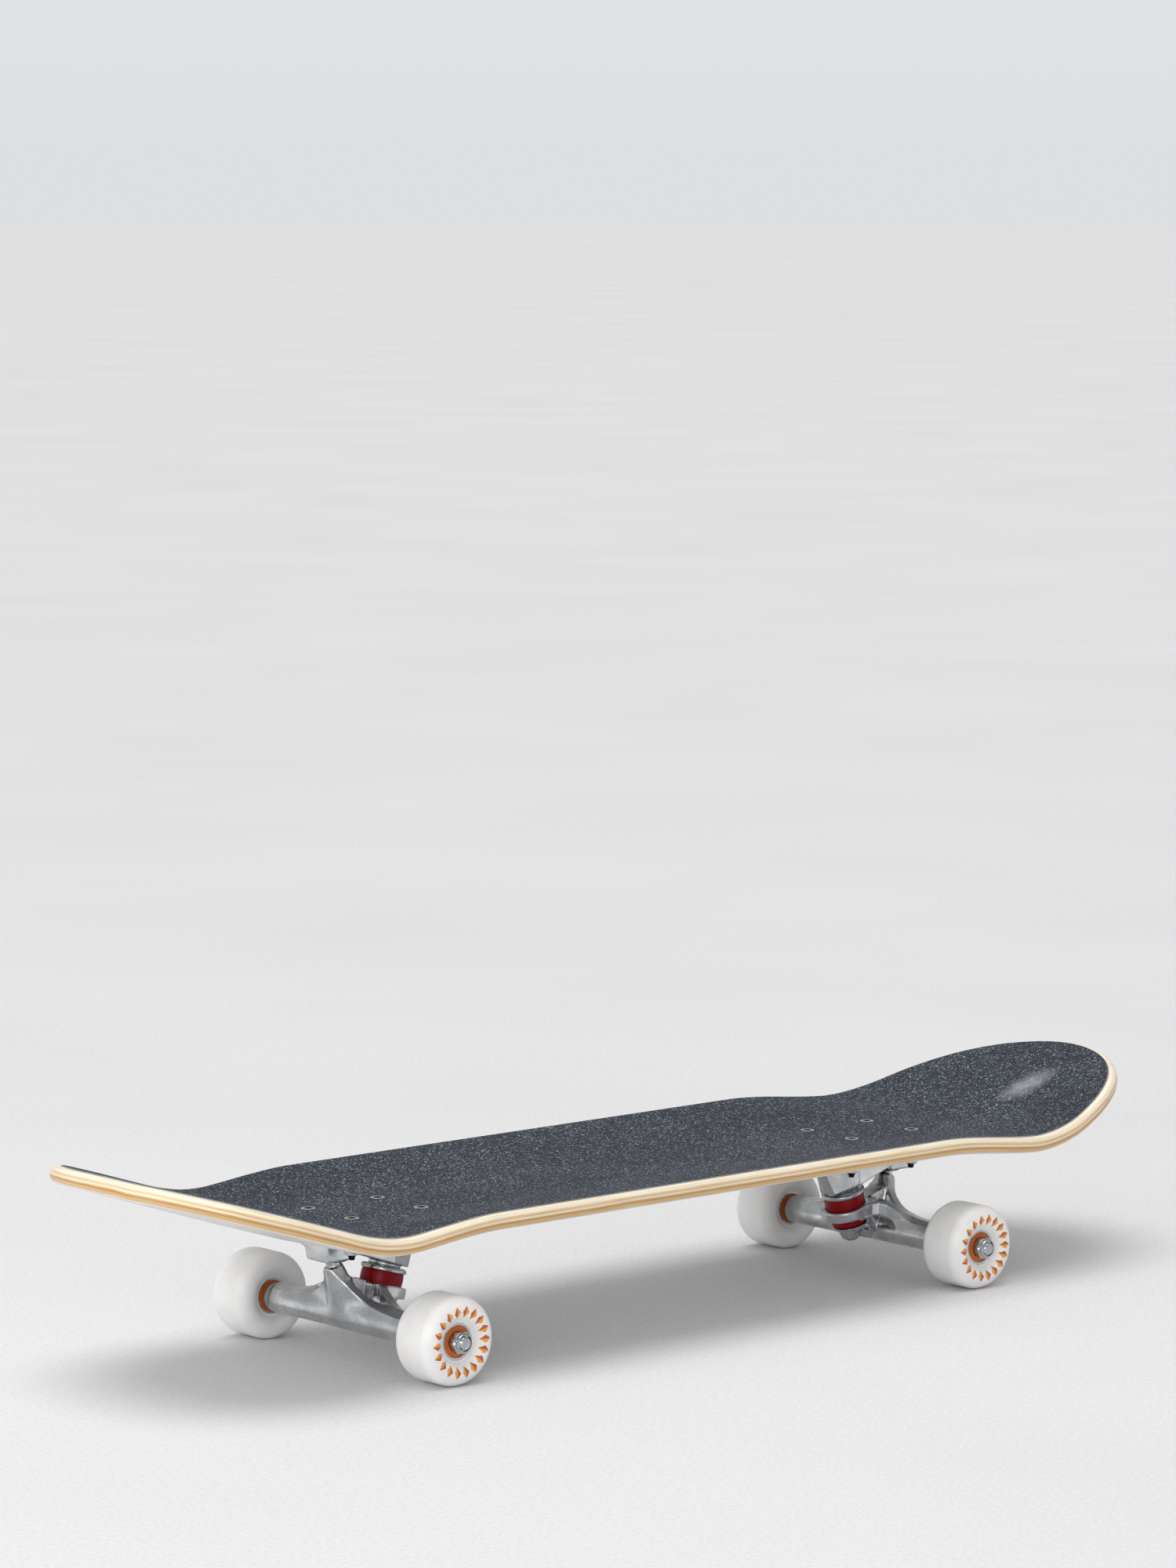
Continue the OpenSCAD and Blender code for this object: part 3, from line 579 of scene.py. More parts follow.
def grit_tape():
    """Silicon carbide grit in dark resin: matt, with its palest specks painted glints off grains' faces."""
    material, shader = finish("silicon carbide grip tape", Roughness=0.78, Specular_IOR_Level=0.35)
    laid = add(material, "Attribute", attribute_name="laid")["Vector"]
    flat = add(material, "Mapping", {"Vector": laid, "Scale": (1, 1, 0)})["Vector"]
    grains = add(material, "TexVoronoi", {"Vector": flat, "Scale": 1000 / 0.8}, feature="F1")["Color"]
    per_grain = add(material, "SeparateColor", {"Color": grains})["Red"]
    # Each grain gets one tone from the ramp, and the palest few are painted glints, not paler grit
    specks = add(material, "ValToRGB", {"Fac": per_grain}, GRIT_TONES_AND_GLINTS)["Color"]
    # Wear shows as patches about 90 mm across, and grit lies thicker every 1.6 mm or so
    fine = add(material, "TexNoise", {"Vector": flat, "Scale": 1000 / 1.6, "Detail": 3.0})["Fac"]
    patch = add(material, "TexNoise", {"Vector": flat, "Scale": 1000 / 90, "Detail": 4.0})["Fac"]
    both = add(material, "Mix", {0: 0.4, 2: fine, 3: patch})[0]
    shade = add(material, "ValToRGB", {"Fac": both}, [(0.3, "#9aa0aa"), (0.7, "#ffffff")])["Color"]
    grit = add(material, "Mix", {0: 1.0, 6: specks, 7: shade}, data_type="RGBA", blend_type="MULTIPLY")[2]
    # A shoe has left a chalky scuff about 60 mm long on the nose
    centred = add(material, "Mapping", {"Vector": flat, "Location": (-0.352, 0.018, 0)})["Vector"]
    scuff = add(material, "Mapping", {"Vector": centred, "Rotation": (0, 0, 0.55),
                                      "Scale": (1000 / 30, 1000 / 14, 0)})["Vector"]
    reach = add(material, "VectorMath", {0: scuff}, operation="LENGTH")["Value"]
    smear = add(material, "TexNoise", {"Vector": flat, "Scale": 1000 / 8, "Detail": 6.0})["Fac"]
    fade = add(material, "MapRange", {"Value": reach, "To Min": 1.1, "To Max": 0.0})["Result"]
    chalk = add(material, "Math", {0: fade, 1: smear}, operation="MULTIPLY")[0]
    marked = add(material, "Mix", {0: chalk, 6: grit, 7: colour("#b9bcc0")}, data_type="RGBA")[2]
    # The filed bevel is paler
    rim = add(material, "Attribute", attribute_name="rim")["Vector"]
    filed = add(material, "SeparateXYZ", {"Vector": rim})["X"]
    whole = add(material, "Mix", {0: filed, 6: marked, 7: colour("#8f9094")}, data_type="RGBA")[2]
    bump = add(material, "Bump", {"Height": per_grain, "Strength": 0.5, "Distance": 0.4 * MM})["Normal"]
    plug(shader, {"Base Color": whole, "Normal": bump})
    return material


# The filed edge is the sheet's first three rings of points, and the mark is 1 on those
GRIP_EDGE = [(GRIP_INSET, DECK_T), (GRIP_INSET, DECK_T + 0.2), (GRIP_INSET + 0.25, DECK_T + 0.6),
             (GRIP_INSET + 0.7, DECK_T + GRIP_T)]
grip_shape = sheet(GRIP_EDGE)
rim_mark = np.zeros((len(grip_shape["points"]), 3))
rim_mark[:3 * 2 * STATIONS] = 1.0
grip_shape["marks"]["rim"] = rim_mark
grip = piece("grip_tape_sheet", grip_shape, grit_tape(), "board", ["grip_tape"], crease=60,
             cutter=bolt_sinks())
print("grip tape has", len(grip.data.polygons), "faces")

# %% [markdown]
# ## Finishes for the metal parts
# The castings are raw aluminium, tumbled after casting, so they are bright but softly grained. The
# fasteners are steel: zinc-plated where they turn or steer, and black oxide through the deck.
# Metals keep the usual IOR, and differ by colour, roughness and the marks that their making leaves.
# Each mark is noise at its real size, so it needs no picture and has no seam.

# %% Metals
def cast_aluminium():
    """Die-cast aluminium, tumbled: a pale grey metal with a soft grain and faint flow marks."""
    material, shader = finish("tumbled die-cast aluminium", Metallic=1.0)
    place = add(material, "TexCoord")["Object"]
    # Tumbling dents are about 1.5 mm across, and flow marks about 18 mm
    dents = add(material, "TexNoise", {"Vector": place, "Scale": 1000 / 1.5, "Detail": 3.0})["Fac"]
    flow = add(material, "TexNoise", {"Vector": place, "Scale": 1000 / 18, "Detail": 5.0,
                                      "Roughness": 0.6})["Fac"]
    tone = add(material, "ValToRGB", {"Fac": flow},
               [(0.30, "#b6b8ba"), (0.52, "#cfd1d3"), (0.72, "#e4e5e6")])["Color"]
    gloss = add(material, "MapRange", {"Value": flow, "From Min": 0.3, "From Max": 0.7, "To Min": 0.34,
                                       "To Max": 0.20})["Result"]
    relief = add(material, "Math", {0: flow, 1: 2.0, 2: dents}, operation="MULTIPLY_ADD")[0]
    bump = add(material, "Bump", {"Height": relief, "Strength": 0.3, "Distance": 0.4 * MM})["Normal"]
    plug(shader, {"Base Color": tone, "Roughness": gloss, "Normal": bump})
    return material


def clouds_and_grain(material, shader, place, cloud_mm, detail, tones, grain_mm, strength):
    """Gives a finish its two tones, in clouds of one size, and a fine raised grain of another."""
    cloud = add(material, "TexNoise", {"Vector": place, "Scale": 1000 / cloud_mm, "Detail": detail})["Fac"]
    grain = add(material, "TexNoise", {"Vector": place, "Scale": 1000 / grain_mm, "Detail": 2.0})["Fac"]
    tone = add(material, "ValToRGB", {"Fac": cloud}, [(0.3, tones[0]), (0.7, tones[1])])["Color"]
    bump = add(material, "Bump", {"Height": grain, "Strength": strength, "Distance": 0.2 * MM})["Normal"]
    plug(shader, {"Base Color": tone, "Normal": bump})
    return cloud


def metal(name, dark, pale, smooth, rough, grain_mm, strength):
    """A metal whose tone and gloss drift every 7 mm or so, with a fine grain of the given size."""
    material, shader = finish(name, Metallic=1.0)
    place = add(material, "TexCoord")["Object"]
    drift = clouds_and_grain(material, shader, place, 7, 4.0, (dark, pale), grain_mm, strength)
    gloss = add(material, "MapRange", {"Value": drift, "From Min": 0.3, "From Max": 0.7, "To Min": smooth,
                                       "To Max": rough})["Result"]
    plug(shader, {"Roughness": gloss})
    return material


def distance_from_axis(material, apart):
    """How far a place is from its own part's axis, from its separated coordinates."""
    flat = add(material, "CombineXYZ", {"X": apart["X"], "Y": apart["Y"]})["Vector"]
    return add(material, "VectorMath", {0: flat}, operation="LENGTH")["Value"]


def black_oxide():
    """Black-oxide steel: nearly black, with a rim that the shoes have rubbed bright."""
    material, shader = finish("black oxide steel", Metallic=0.85, Roughness=0.42)
    local = add(material, "Attribute", attribute_name="local")["Vector"]
    apart = add(material, "SeparateXYZ", {"Vector": local})
    worn = add(material, "TexNoise", {"Vector": local, "Scale": 1000 / 1.1, "Detail": 4.0})["Fac"]
    rim = add(material, "MapRange", {"Value": distance_from_axis(material, apart), "From Min": 2.4 * MM,
                                     "From Max": 3.6 * MM})["Result"]
    head = add(material, "Math", {0: apart["Z"], 1: -0.4 * MM}, operation="GREATER_THAN")[0]
    bare = add(material, "Math", {0: rim, 1: head}, operation="MULTIPLY")[0]
    share = add(material, "Math", {0: bare, 1: worn}, operation="MULTIPLY")[0]
    tone = add(material, "ValToRGB", {"Fac": share},
               [(0.0, "#17181b"), (0.12, "#3a3d42"), (0.36, "#c9ccd0")])["Color"]
    bump = add(material, "Bump", {"Height": worn, "Strength": 0.15, "Distance": 0.2 * MM})["Normal"]
    plug(shader, {"Base Color": tone, "Normal": bump})
    return material


ALUMINIUM = cast_aluminium()
# Zinc plating is a thin bright coat, a little blue, and a ground race is smoother still
ZINC = metal("zinc plated steel", "#a8adb2", "#c6cacd", 0.20, 0.30, 0.6, 0.02)
BEARING_STEEL = metal("ground bearing steel", "#a9adb2", "#c6c9cc", 0.12, 0.22, 0.5, 0.05)
BLACK_OXIDE = black_oxide()
print("metals:", [m.name for m in (ALUMINIUM, ZINC, BEARING_STEEL, BLACK_OXIDE)])

# %% [markdown]
# ## Finishes for the moulded parts
# Wheels and bushings are both polyurethane, poured into moulds: satin, with light that goes a little
# way in. The bearings' shields are rubber, their cages nylon, and the pivot cups a harder black
# urethane.

# %% Urethane, rubber and nylon
def urethane(name, deep, pale, **surface):
    """Cast polyurethane: satin, with clouds about 11 mm across, and a little translucent."""
    material, shader = finish(name, IOR=1.5, Subsurface_Radius=(1.0, 0.6, 0.5), **surface)
    local = add(material, "Attribute", attribute_name="local")["Vector"]
    clouds_and_grain(material, shader, local, 11, 5.0, (deep, pale), 0.8, 0.06)
    return material


def moulded(name, deep, pale, rough, grain_mm):
    """A moulded rubber or plastic, clouded every 4 mm or so, with a fine even grain."""
    material, shader = finish(name, Roughness=rough)
    place = add(material, "TexCoord")["Object"]
    clouds_and_grain(material, shader, place, 4, 4.0, (deep, pale), grain_mm, 0.1)
    return material


RED_URETHANE = urethane("cast red urethane", "#86000b", "#98000f", Roughness=0.34, Specular_IOR_Level=0.25)
ORANGE_RUBBER = moulded("moulded orange rubber", "#bd5a18", "#cf6b23", 0.5, 0.6)
NYLON = moulded("moulded nylon", "#cfc3a4", "#ddd3b8", 0.45, 0.6)
BLACK_URETHANE = moulded("moulded black urethane", "#141416", "#202125", 0.5, 0.8)
print("moulded:", [m.name for m in (RED_URETHANE, ORANGE_RUBBER, NYLON, BLACK_URETHANE)])

# %% [markdown]
# The wheels' outer faces carry a pad-printed ring of two-tone lozenges. It could be a picture wrapped
# on the face. It is drawn in the shader instead, from the wheel's own radius and angle: it stays
# sharp at any size and turns with the wheel.

# %% Printed wheels
PRINT_COUNT = 18
PRINT_R = 18.3
PRINT_HALF_H = 3.7
PRINT_HALF_W = 2.5
PRINT_FROM = 12 * MM


def printed_wheel():
    """White urethane with the printed ring: satin and milky, under thin, slightly patchy ink."""
    material = urethane("cast white urethane, pad printed", "#f4f2f0", "#fcfbfa", Roughness=0.38,
                        Subsurface_Weight=0.15, Subsurface_Scale=2.5 * MM)
    shader = material.node_tree.nodes["Principled BSDF"]
    local = add(material, "Attribute", attribute_name="local")["Vector"]
    apart = add(material, "SeparateXYZ", {"Vector": local})
    angle = add(material, "Math", {0: apart["Y"], 1: apart["X"]}, operation="ARCTAN2")[0]
    # Each lozenge is measured across, from -1 to 1 over its width, and outwards, over its height
    turns = add(material, "Math", {0: angle, 1: PRINT_COUNT / (2 * math.pi), 2: PRINT_COUNT + 0.5},
                operation="MULTIPLY_ADD")[0]
    share = add(material, "Math", {0: turns}, operation="FRACT")[0]
    pitch = 2 * math.pi * PRINT_R / PRINT_COUNT
    across = add(material, "Math", {0: share, 1: pitch / PRINT_HALF_W, 2: -pitch / PRINT_HALF_W / 2},
                 operation="MULTIPLY_ADD")[0]
    outwards = add(material, "Math", {0: distance_from_axis(material, apart), 1: 1 / (PRINT_HALF_H * MM),
                                      2: -PRINT_R / PRINT_HALF_H}, operation="MULTIPLY_ADD")[0]
    aside = add(material, "Math", {0: across}, operation="ABSOLUTE")[0]
    along = add(material, "Math", {0: outwards}, operation="ABSOLUTE")[0]
    reach = add(material, "Math", {0: aside, 1: along}, operation="ADD")[0]
    inside = add(material, "Math", {0: reach, 1: 1.0}, operation="LESS_THAN")[0]
    outer = add(material, "Math", {0: apart["Z"], 1: PRINT_FROM}, operation="GREATER_THAN")[0]
    inked = add(material, "Math", {0: inside, 1: outer}, operation="MULTIPLY")[0]
    half = add(material, "Math", {0: across, 1: 0.0}, operation="GREATER_THAN")[0]
    ink = add(material, "Mix", {0: half, 6: colour("#eda51d"), 7: colour("#bd4f1a")}, data_type="RGBA")[2]
    # Ink lies thinner here and there, in specks about 1.4 mm across
    patchy = add(material, "TexNoise", {"Vector": local, "Scale": 1000 / 1.4, "Detail": 3.0})["Fac"]
    cover = add(material, "MapRange", {"Value": patchy, "From Min": 0.2, "From Max": 0.4, "To Min": 0.8,
                                       "To Max": 0.97})["Result"]
    strength = add(material, "Math", {0: inked, 1: cover}, operation="MULTIPLY")[0]
    bare = shader.inputs["Base Color"].links[0].from_socket
    plug(shader, {"Base Color": add(material, "Mix", {0: strength, 6: bare, 7: ink}, data_type="RGBA")[2]})
    return material


WHITE_URETHANE = printed_wheel()
print("printed:", WHITE_URETHANE.name, "with", PRINT_COUNT, "lozenges")

# %% [markdown]
# ## The castings
# A hanger is poured in one piece, and every joint in it has a fillet, which is hard to model with
# faces. A distance field makes that easy: each rod and plate is a formula for how far a point is from
# its surface, and a smooth minimum melts them together with a fillet. A grid then finds the surface,
# and each of its points is pulled onto it.

# %% Distance fields
def length(v):
    return np.sqrt((v * v).sum(-1))


def rod(p, a, b, radius_a, radius_b):
    """A round rod that may taper."""
    a, b = np.array(a, float), np.array(b, float)
    share = np.clip((p - a) @ (b - a) / ((b - a) @ (b - a)), 0, 1)
    return length(p - a - share[:, None] * (b - a)) - (radius_a + (radius_b - radius_a) * share)


def drum(p, a, b, radius, edge):
    """A cylinder from a to b with rounded rims."""
    a, b = np.array(a, float), np.array(b, float)
    axis = (b - a) / np.linalg.norm(b - a)
    along = (p - (a + b) / 2) @ axis
    out = np.stack([length(p - (a + b) / 2 - along[:, None] * axis) - radius + edge,
                    np.abs(along) - np.linalg.norm(b - a) / 2 + edge], -1)
    return np.minimum(out.max(-1), 0) + length(np.maximum(out, 0)) - edge


def block(p, low, high, edge):
    """A box with rounded edges."""
    low, high = np.array(low, float), np.array(high, float)
    out = np.abs(p - (low + high) / 2) - (high - low) / 2 + edge
    return np.minimum(out.max(-1), 0) + length(np.maximum(out, 0)) - edge


def wall(p, a, b, keys):
    """Distance outside a flat wall through a and b, seen in two of the axes, solid on its right."""
    run = np.array(b, float) - np.array(a, float)
    out = np.array([-run[1], run[0]]) / np.linalg.norm(run)
    return (p[:, keys] - np.array(a, float)) @ out


def prism(p, outline, keys):
    """A convex outline, drawn clockwise in two of the axes, without ends."""
    return np.stack([wall(p, a, b, keys) for a, b in zip(outline, outline[1:] + outline[:1])]).max(0)


def melt(a, b, fillet):
    """Both shapes, with a fillet between them."""
    share = np.clip(0.5 + 0.5 * (b - a) / fillet, 0, 1)
    return b + (a - b) * share - fillet * share * (1 - share)


def cut(a, b, edge=0.4):
    """The first shape without the second, with a broken edge."""
    return -melt(-a, b, edge)


print("0.5 mm outside two shapes is", melt(np.array([0.5]), np.array([0.5]), 4.0)[0], "mm from a 4 mm fillet")

# %% [markdown]
# A grid of cells covers the field. Each cell that the surface passes through gets one point, at the
# middle of its crossings, and neighbouring cells' points make quads. Four Newton steps then pull
# every point onto the true surface, so the quads can stay large and the edges still come out crisp.

# %% The skin of a field
SLOPE_STEP, PULLS = 0.02, 4


def skin(field, low, high, step):
    """The surface of a field inside a box, as quads near the step in size."""
    axes = [np.arange(a, b + step, step) for a, b in zip(low, high)]
    grid = np.stack(np.meshgrid(*axes, indexing="ij"), -1)
    value = field(grid.reshape(-1, 3)).reshape(grid.shape[:3])
    cells = tuple(n - 1 for n in value.shape)
    total, count = np.zeros(cells + (3,)), np.zeros(cells)
    for axis in range(3):
        others = [k for k in range(3) if k != axis]
        for first in (0, 1):
            for second in (0, 1):
                start = [slice(0, n) for n in cells]
                start[others[0]] = slice(first, cells[others[0]] + first)
                start[others[1]] = slice(second, cells[others[1]] + second)
                end = list(start)
                end[axis] = slice(1, cells[axis] + 1)
                a, b = value[tuple(start)], value[tuple(end)]
                crossed = (a < 0) != (b < 0)
                share = np.where(crossed, a / np.where(crossed, a - b, 1), 0)[..., None]
                place = grid[tuple(start)] * (1 - share) + grid[tuple(end)] * share
                total += place * crossed[..., None]
                count += crossed
    used = count > 0
    index = np.full(cells, -1)
    index[used] = np.arange(used.sum())
    points = total[used] / count[used][:, None]
    faces = []
    for axis in range(3):
        u, v = [(1, 2), (2, 0), (0, 1)][axis]
        start = [slice(1, n) for n in cells]
        start[axis] = slice(0, cells[axis])
        end = list(start)
        end[axis] = slice(1, cells[axis] + 1)
        a, b = value[tuple(start)] < 0, value[tuple(end)] < 0
        spots = np.argwhere(a != b)
        leaving = a[tuple(spots.T)]
        spots += np.array([0 if k == axis else 1 for k in range(3)])
        ring = []
        for du, dv in ((0, 0), (1, 0), (1, 1), (0, 1)):
            near = spots.copy()
            near[:, u] -= du
            near[:, v] -= dv
            ring.append(index[tuple(near.T)])
        ring = np.stack(ring, -1)
        ring[~leaving] = ring[~leaving][:, ::-1]
        faces.append(ring)
    for _ in range(PULLS):
        slope = np.stack([(field(points + e) - field(points - e)) / (2 * SLOPE_STEP)
                          for e in SLOPE_STEP * np.eye(3)], -1)
        shift = field(points) / np.maximum((slope * slope).sum(-1), 0.2)
        points = points - slope * np.clip(shift, -step / 2, step / 2)[:, None]
    return {"points": points, "faces": np.concatenate(faces).tolist()}


ball = skin(lambda p: length(p) - 5, (-6, -6, -6), (6, 6, 6), 1.0)
print("a 5 mm ball has", len(ball["points"]), "points, out by", abs(length(ball["points"]) - 5).max(), "mm")

# %% [markdown]
# The hanger holds the axle in its two arms. A ring at the kingpin sits between the bushings, a post
# ends in the pivot's ball, and thin fins and ridges tie them to the arms without much weight.

# %% Hanger
AXLE_R = (axle_high[0] - axle_low[0]) / 2
HANGER_HALF = box_mm("front_hanger")[1][1]
ARM_R, RING_R, BALL_R, NECK_R, POST_L = 9.0, 16.3, 6.0, 4.3, 32
# Depths below the kingpin's seat: the ring's top and bottom, and the web between the bushings
RING_TOP, WEB_TOP, WEB_BOTTOM, RING_BOTTOM = 11.0, 13.0, 15.5, 18.0
# The fin's half thickness, its end along the arm, and its height at the arm and at the post
FIN_T, FIN_END, FIN_LOW, FIN_RISE = 3.2, 62, 5.0, 24
# The strap's middle line from above, its height and half thickness, and how far it sinks to the arm
STRAP = [(-22, 13.6), (-15, 14.4), (-10.4, 17.6), (-7, 24), (-4.6, 34), (-3, 46), (-2, 60)]
STRAP_H, STRAP_T, STRAP_DROP = 8.6, 2.7, 13.5
WEB = [(-10, 18), (-9, 20.6), (0, 23.5), (8, 25), (11, 20.4), (8, 0), (-4, 4), (-7.5, 12.4)]
POCKET = [(-15, 18.2), (-7.2, 20.4), (-6.2, 19.6), (-4.5, 0), (-8, 0), (-15, 10)]
# The neck is bare this far from the ball's middle, which leaves room for the pivot cup's rim
CUP_REACH = 11.7


def down(distance):
    """The point on the kingpin's line at a distance below its seat."""
    return SEAT + DOWN_KINGPIN * distance


def fin_field(p, y):
    """The fin: tall and flush with the post in the middle, and falling in a curve to the arms."""
    fall = np.exp((6 - np.sqrt(y * y + 36)) / 17)
    flush = PIVOT[0] + 1.5 + (np.clip(p[:, 2], 0, 34) - PIVOT[2]) * math.tan(POST_LEAN)
    middle = 4.4 + (flush - 4.4) * fall
    fin = -melt(FIN_T - np.abs(p[:, 0] - middle), FIN_LOW + FIN_RISE * fall - p[:, 2], 1.2)
    return np.maximum(fin, np.maximum(y - FIN_END, 2 - p[:, 2])) * 0.75


def post_field(p):
    """The post that leans up from the arms to the pivot, narrow at its neck."""
    post = rod(p, PIVOT - UP_POST * POST_L, PIVOT - UP_POST * 10, 6.2, 4.6)
    return melt(post, rod(p, PIVOT - UP_POST * 10, PIVOT, NECK_R, NECK_R), 1.0)


def strap_field(p, side, y):
    """The strap: level at the ring's shoulder, then an S down to the arm, with a crisp top and foot."""
    plan = side * (1, 1, 0)
    route = [np.array((x, out, 0)) for x, out in STRAP]
    along = np.stack([rod(plan, a, b, STRAP_T, STRAP_T) for a, b in zip(route, route[1:])]).min(0)
    sunk = np.clip((y - 15) / 36, 0, 1)
    ring_top = down(RING_TOP)
    crest = ring_top[2] + (np.minimum(p[:, 0], -8) - ring_top[0]) * math.tan(KINGPIN_LEAN)
    crest = crest - STRAP_DROP * sunk * sunk * (3 - 2 * sunk)
    tall = STRAP_H / 2 + 1.5 * sunk
    return -melt(-along, tall - np.abs(p[:, 2] - crest + tall), 1.2) * 0.9


def hanger_field(p):
    """The whole hanger, from the middle of its axle. Its two sides are mirror images."""
    side = np.stack([p[:, 0], np.abs(p[:, 1]), p[:, 2]], -1)
    y = side[:, 1]
    solid = drum(p, (0, -HANGER_HALF, 0), (0, HANGER_HALF, 0), ARM_R, 3.0)
    solid = melt(solid, melt(fin_field(p, y), post_field(p), 7.0), 8.0)
    solid = melt(solid, strap_field(p, side, y), 3.0)
    # The web joins ring and arms, and the pocket's wall closes the gap beside it
    solid = melt(solid, np.maximum(prism(p, WEB, [0, 2]), y - 6.5), 3.0)
    solid = melt(solid, np.maximum(prism(p, POCKET, [0, 2]), y - 14), 1.5)
    solid = melt(solid, drum(p, down(RING_TOP), down(RING_BOTTOM), RING_R, 1.0), 1.6)
    # Seats for the two bushings, room for the washer below, and the kingpin's hole
    solid = cut(solid, drum(p, down(WEB_TOP), down(-12), 13.0, 0.3))
    solid = cut(solid, drum(p, down(WEB_BOTTOM), down(36), 12.05, 0.3))
    solid = cut(solid, drum(p, down(RING_BOTTOM), down(60), 14.1, 0.3), 0.8)
    solid = cut(solid, rod(p, down(WEB_TOP - 4), down(WEB_BOTTOM + 4), 8.0, 8.0))
    # A bare neck and the ball, so that the pivot cup's rim clears the fillets at full steer
    solid = cut(solid, length(p - PIVOT) - CUP_REACH, 1.0)
    solid = melt(solid, rod(p, PIVOT - UP_POST * 13, PIVOT, 4.5, NECK_R), 0.8)
    solid = np.minimum(solid, length(p - PIVOT) - BALL_R)
    return cut(solid, rod(p, (0, -100, 0), (0, 100, 0), AXLE_R + 0.03, AXLE_R + 0.03))


hanger = skin(hanger_field, (-42, -77, -11), (25, 77, 51), 0.85)
for end in ENDS:
    piece(end + "_hanger_casting", placed(hanger, TRUCK[end]), ALUMINIUM, end + "_axle_assembly",
          [end + "_hanger"], crease=50)
print("hanger:", len(hanger["points"]), "points")

# %% [markdown]
# The baseplate is a flange, a keel that holds the kingpin and a block that holds the pivot cup. Its
# faces are flat with crisp, slightly rounded edges, as a die leaves them.

# %% Baseplate
FLANGE_T = 6.0
FLANGE_BOTTOM = TRUCK_H - FLANGE_T
KEEL = [(-51, TRUCK_H - 1), (14, TRUCK_H - 1), (14, TRUCK_H - 7), (8, TRUCK_H - 12.5),
        (-39.8, TRUCK_H - 28.6), (-51, TRUCK_H - 5)]
KEEL_HALF = 13.5
KINGPIN_HOLE_R, CUP_HOLE_R, BOLT_HOLE_R = 4.85, 8.47, 2.66
HEAD_HALF_FLATS, HEAD_SEAT = 7.3, 19.9


def plate_field(p):
    """The whole baseplate, from the middle of the axle, with its top on the deck."""
    side = np.stack([p[:, 0], np.abs(p[:, 1]), p[:, 2]], -1)
    flange = block(p, (-52, -28, FLANGE_BOTTOM), (27, 28, TRUCK_H), 0.8)
    corner = length(np.maximum(np.abs(p[:, :2] - (-12.5, 0)) - (30.5, 19), 0)) - 9
    solid = np.maximum(flange, corner)
    # The keel holds the kingpin. It narrows to a nose where it is deepest
    plan = np.maximum(wall(side, (-43.8, 5.5), (-23.8, KEEL_HALF), [0, 1]), side[:, 1] - KEEL_HALF)
    solid = melt(solid, -melt(-prism(p, KEEL, [0, 2]), -plan, 1.2), 1.4)
    # The block round the pivot cup, with a leaning outer face
    pivot_block = block(p, (8, -10.6, TRUCK_H - 17.4), (27, 10.6, TRUCK_H - 2), 1.6)
    lean = wall(p, (27.5, TRUCK_H - 6), (23.5, TRUCK_H - 23), [0, 2])
    solid = melt(solid, np.maximum(pivot_block, lean), 1.2)
    solid = melt(solid, drum(p, SEAT, SEAT - DOWN_KINGPIN * 13, 10, 0.5), 1.0)
    solid = np.maximum(solid, p[:, 2] - TRUCK_H)
    # The kingpin's hole, the pivot cup's bore, the recess for the kingpin's head and the bolt holes
    solid = cut(solid, drum(p, down(5), down(-40), KINGPIN_HOLE_R, 0.2))
    solid = cut(solid, drum(p, PIVOT - UP_POST * 30, PIVOT + UP_POST * 6.9, CUP_HOLE_R, 0.2))
    head = (p - SEAT) @ np.array([[math.cos(KINGPIN_LEAN), 0], [0, 1], [math.sin(KINGPIN_LEAN), 0]])
    hexagon = np.stack([np.abs(head @ (math.cos(a), math.sin(a))) for a in np.radians((30, 90, 150))])
    solid = cut(solid, np.maximum(hexagon.max(0) - HEAD_HALF_FLATS, HEAD_SEAT - (SEAT - p) @ DOWN_KINGPIN))
    for x in BOLT_X:
        solid = cut(solid, length(side[:, :2] - (x, BOLT_Y)) - BOLT_HOLE_R)
    return solid


plate = skin(plate_field, (-54, -30, 22), (29, 30, 55), 0.7)
for end in ENDS:
    piece(end + "_baseplate_casting", placed(plate, TRUCK[end]), ALUMINIUM, "board",
          [end + "_baseplate"], crease=50)
print("baseplate:", len(plate["points"]), "points")

# %% [markdown]
# ## Bushings and washers
# Two red urethane bushings squeeze the hanger's ring between two cupped washers. Tightening the
# kingpin nut makes them bulge, and on the truck they bend as the hanger turns.

# %% Bushings and washers
PIN_R = 4.7625
PIN_HOLE_R = PIN_R + 0.1
WASHER_T, FLAT_TOP = 1.6, -24.1
FLAT_FOOT = FLAT_TOP - WASHER_T
# Outlines as (radius, height over the kingpin's seat)
CUP_WASHER = [(PIN_HOLE_R, 0), (12.4, 0), (13.7, -0.4), (14.2, -1.4), (14.15, -3.0), (13.2, -3.0),
              (13.1, -1.7), (12.6, -WASHER_T), (PIN_HOLE_R, -WASHER_T)]
FLAT_WASHER = [(PIN_HOLE_R, FLAT_TOP), (11.0, FLAT_TOP), (11.6, -24.3), (11.6, -25.2), (11.0, FLAT_FOOT),
               (PIN_HOLE_R, FLAT_FOOT)]


def barrel(top, bottom, top_r, bottom_r, bulge):
    """A bushing's outline: rounded rims and a bulge between them."""
    share = np.linspace(0, 1, 15)
    rim = 1 - np.clip(np.minimum(share, 1 - share) / 0.12, 0, 1)
    reach = top_r + (bottom_r - top_r) * share + bulge * np.sin(math.pi * share) - 0.9 * rim ** 2
    outside = [(r, -(top + (bottom - top) * s)) for r, s in zip(reach, share)]
    return [(PIN_HOLE_R, -top)] + outside + [(PIN_HOLE_R, -bottom)]


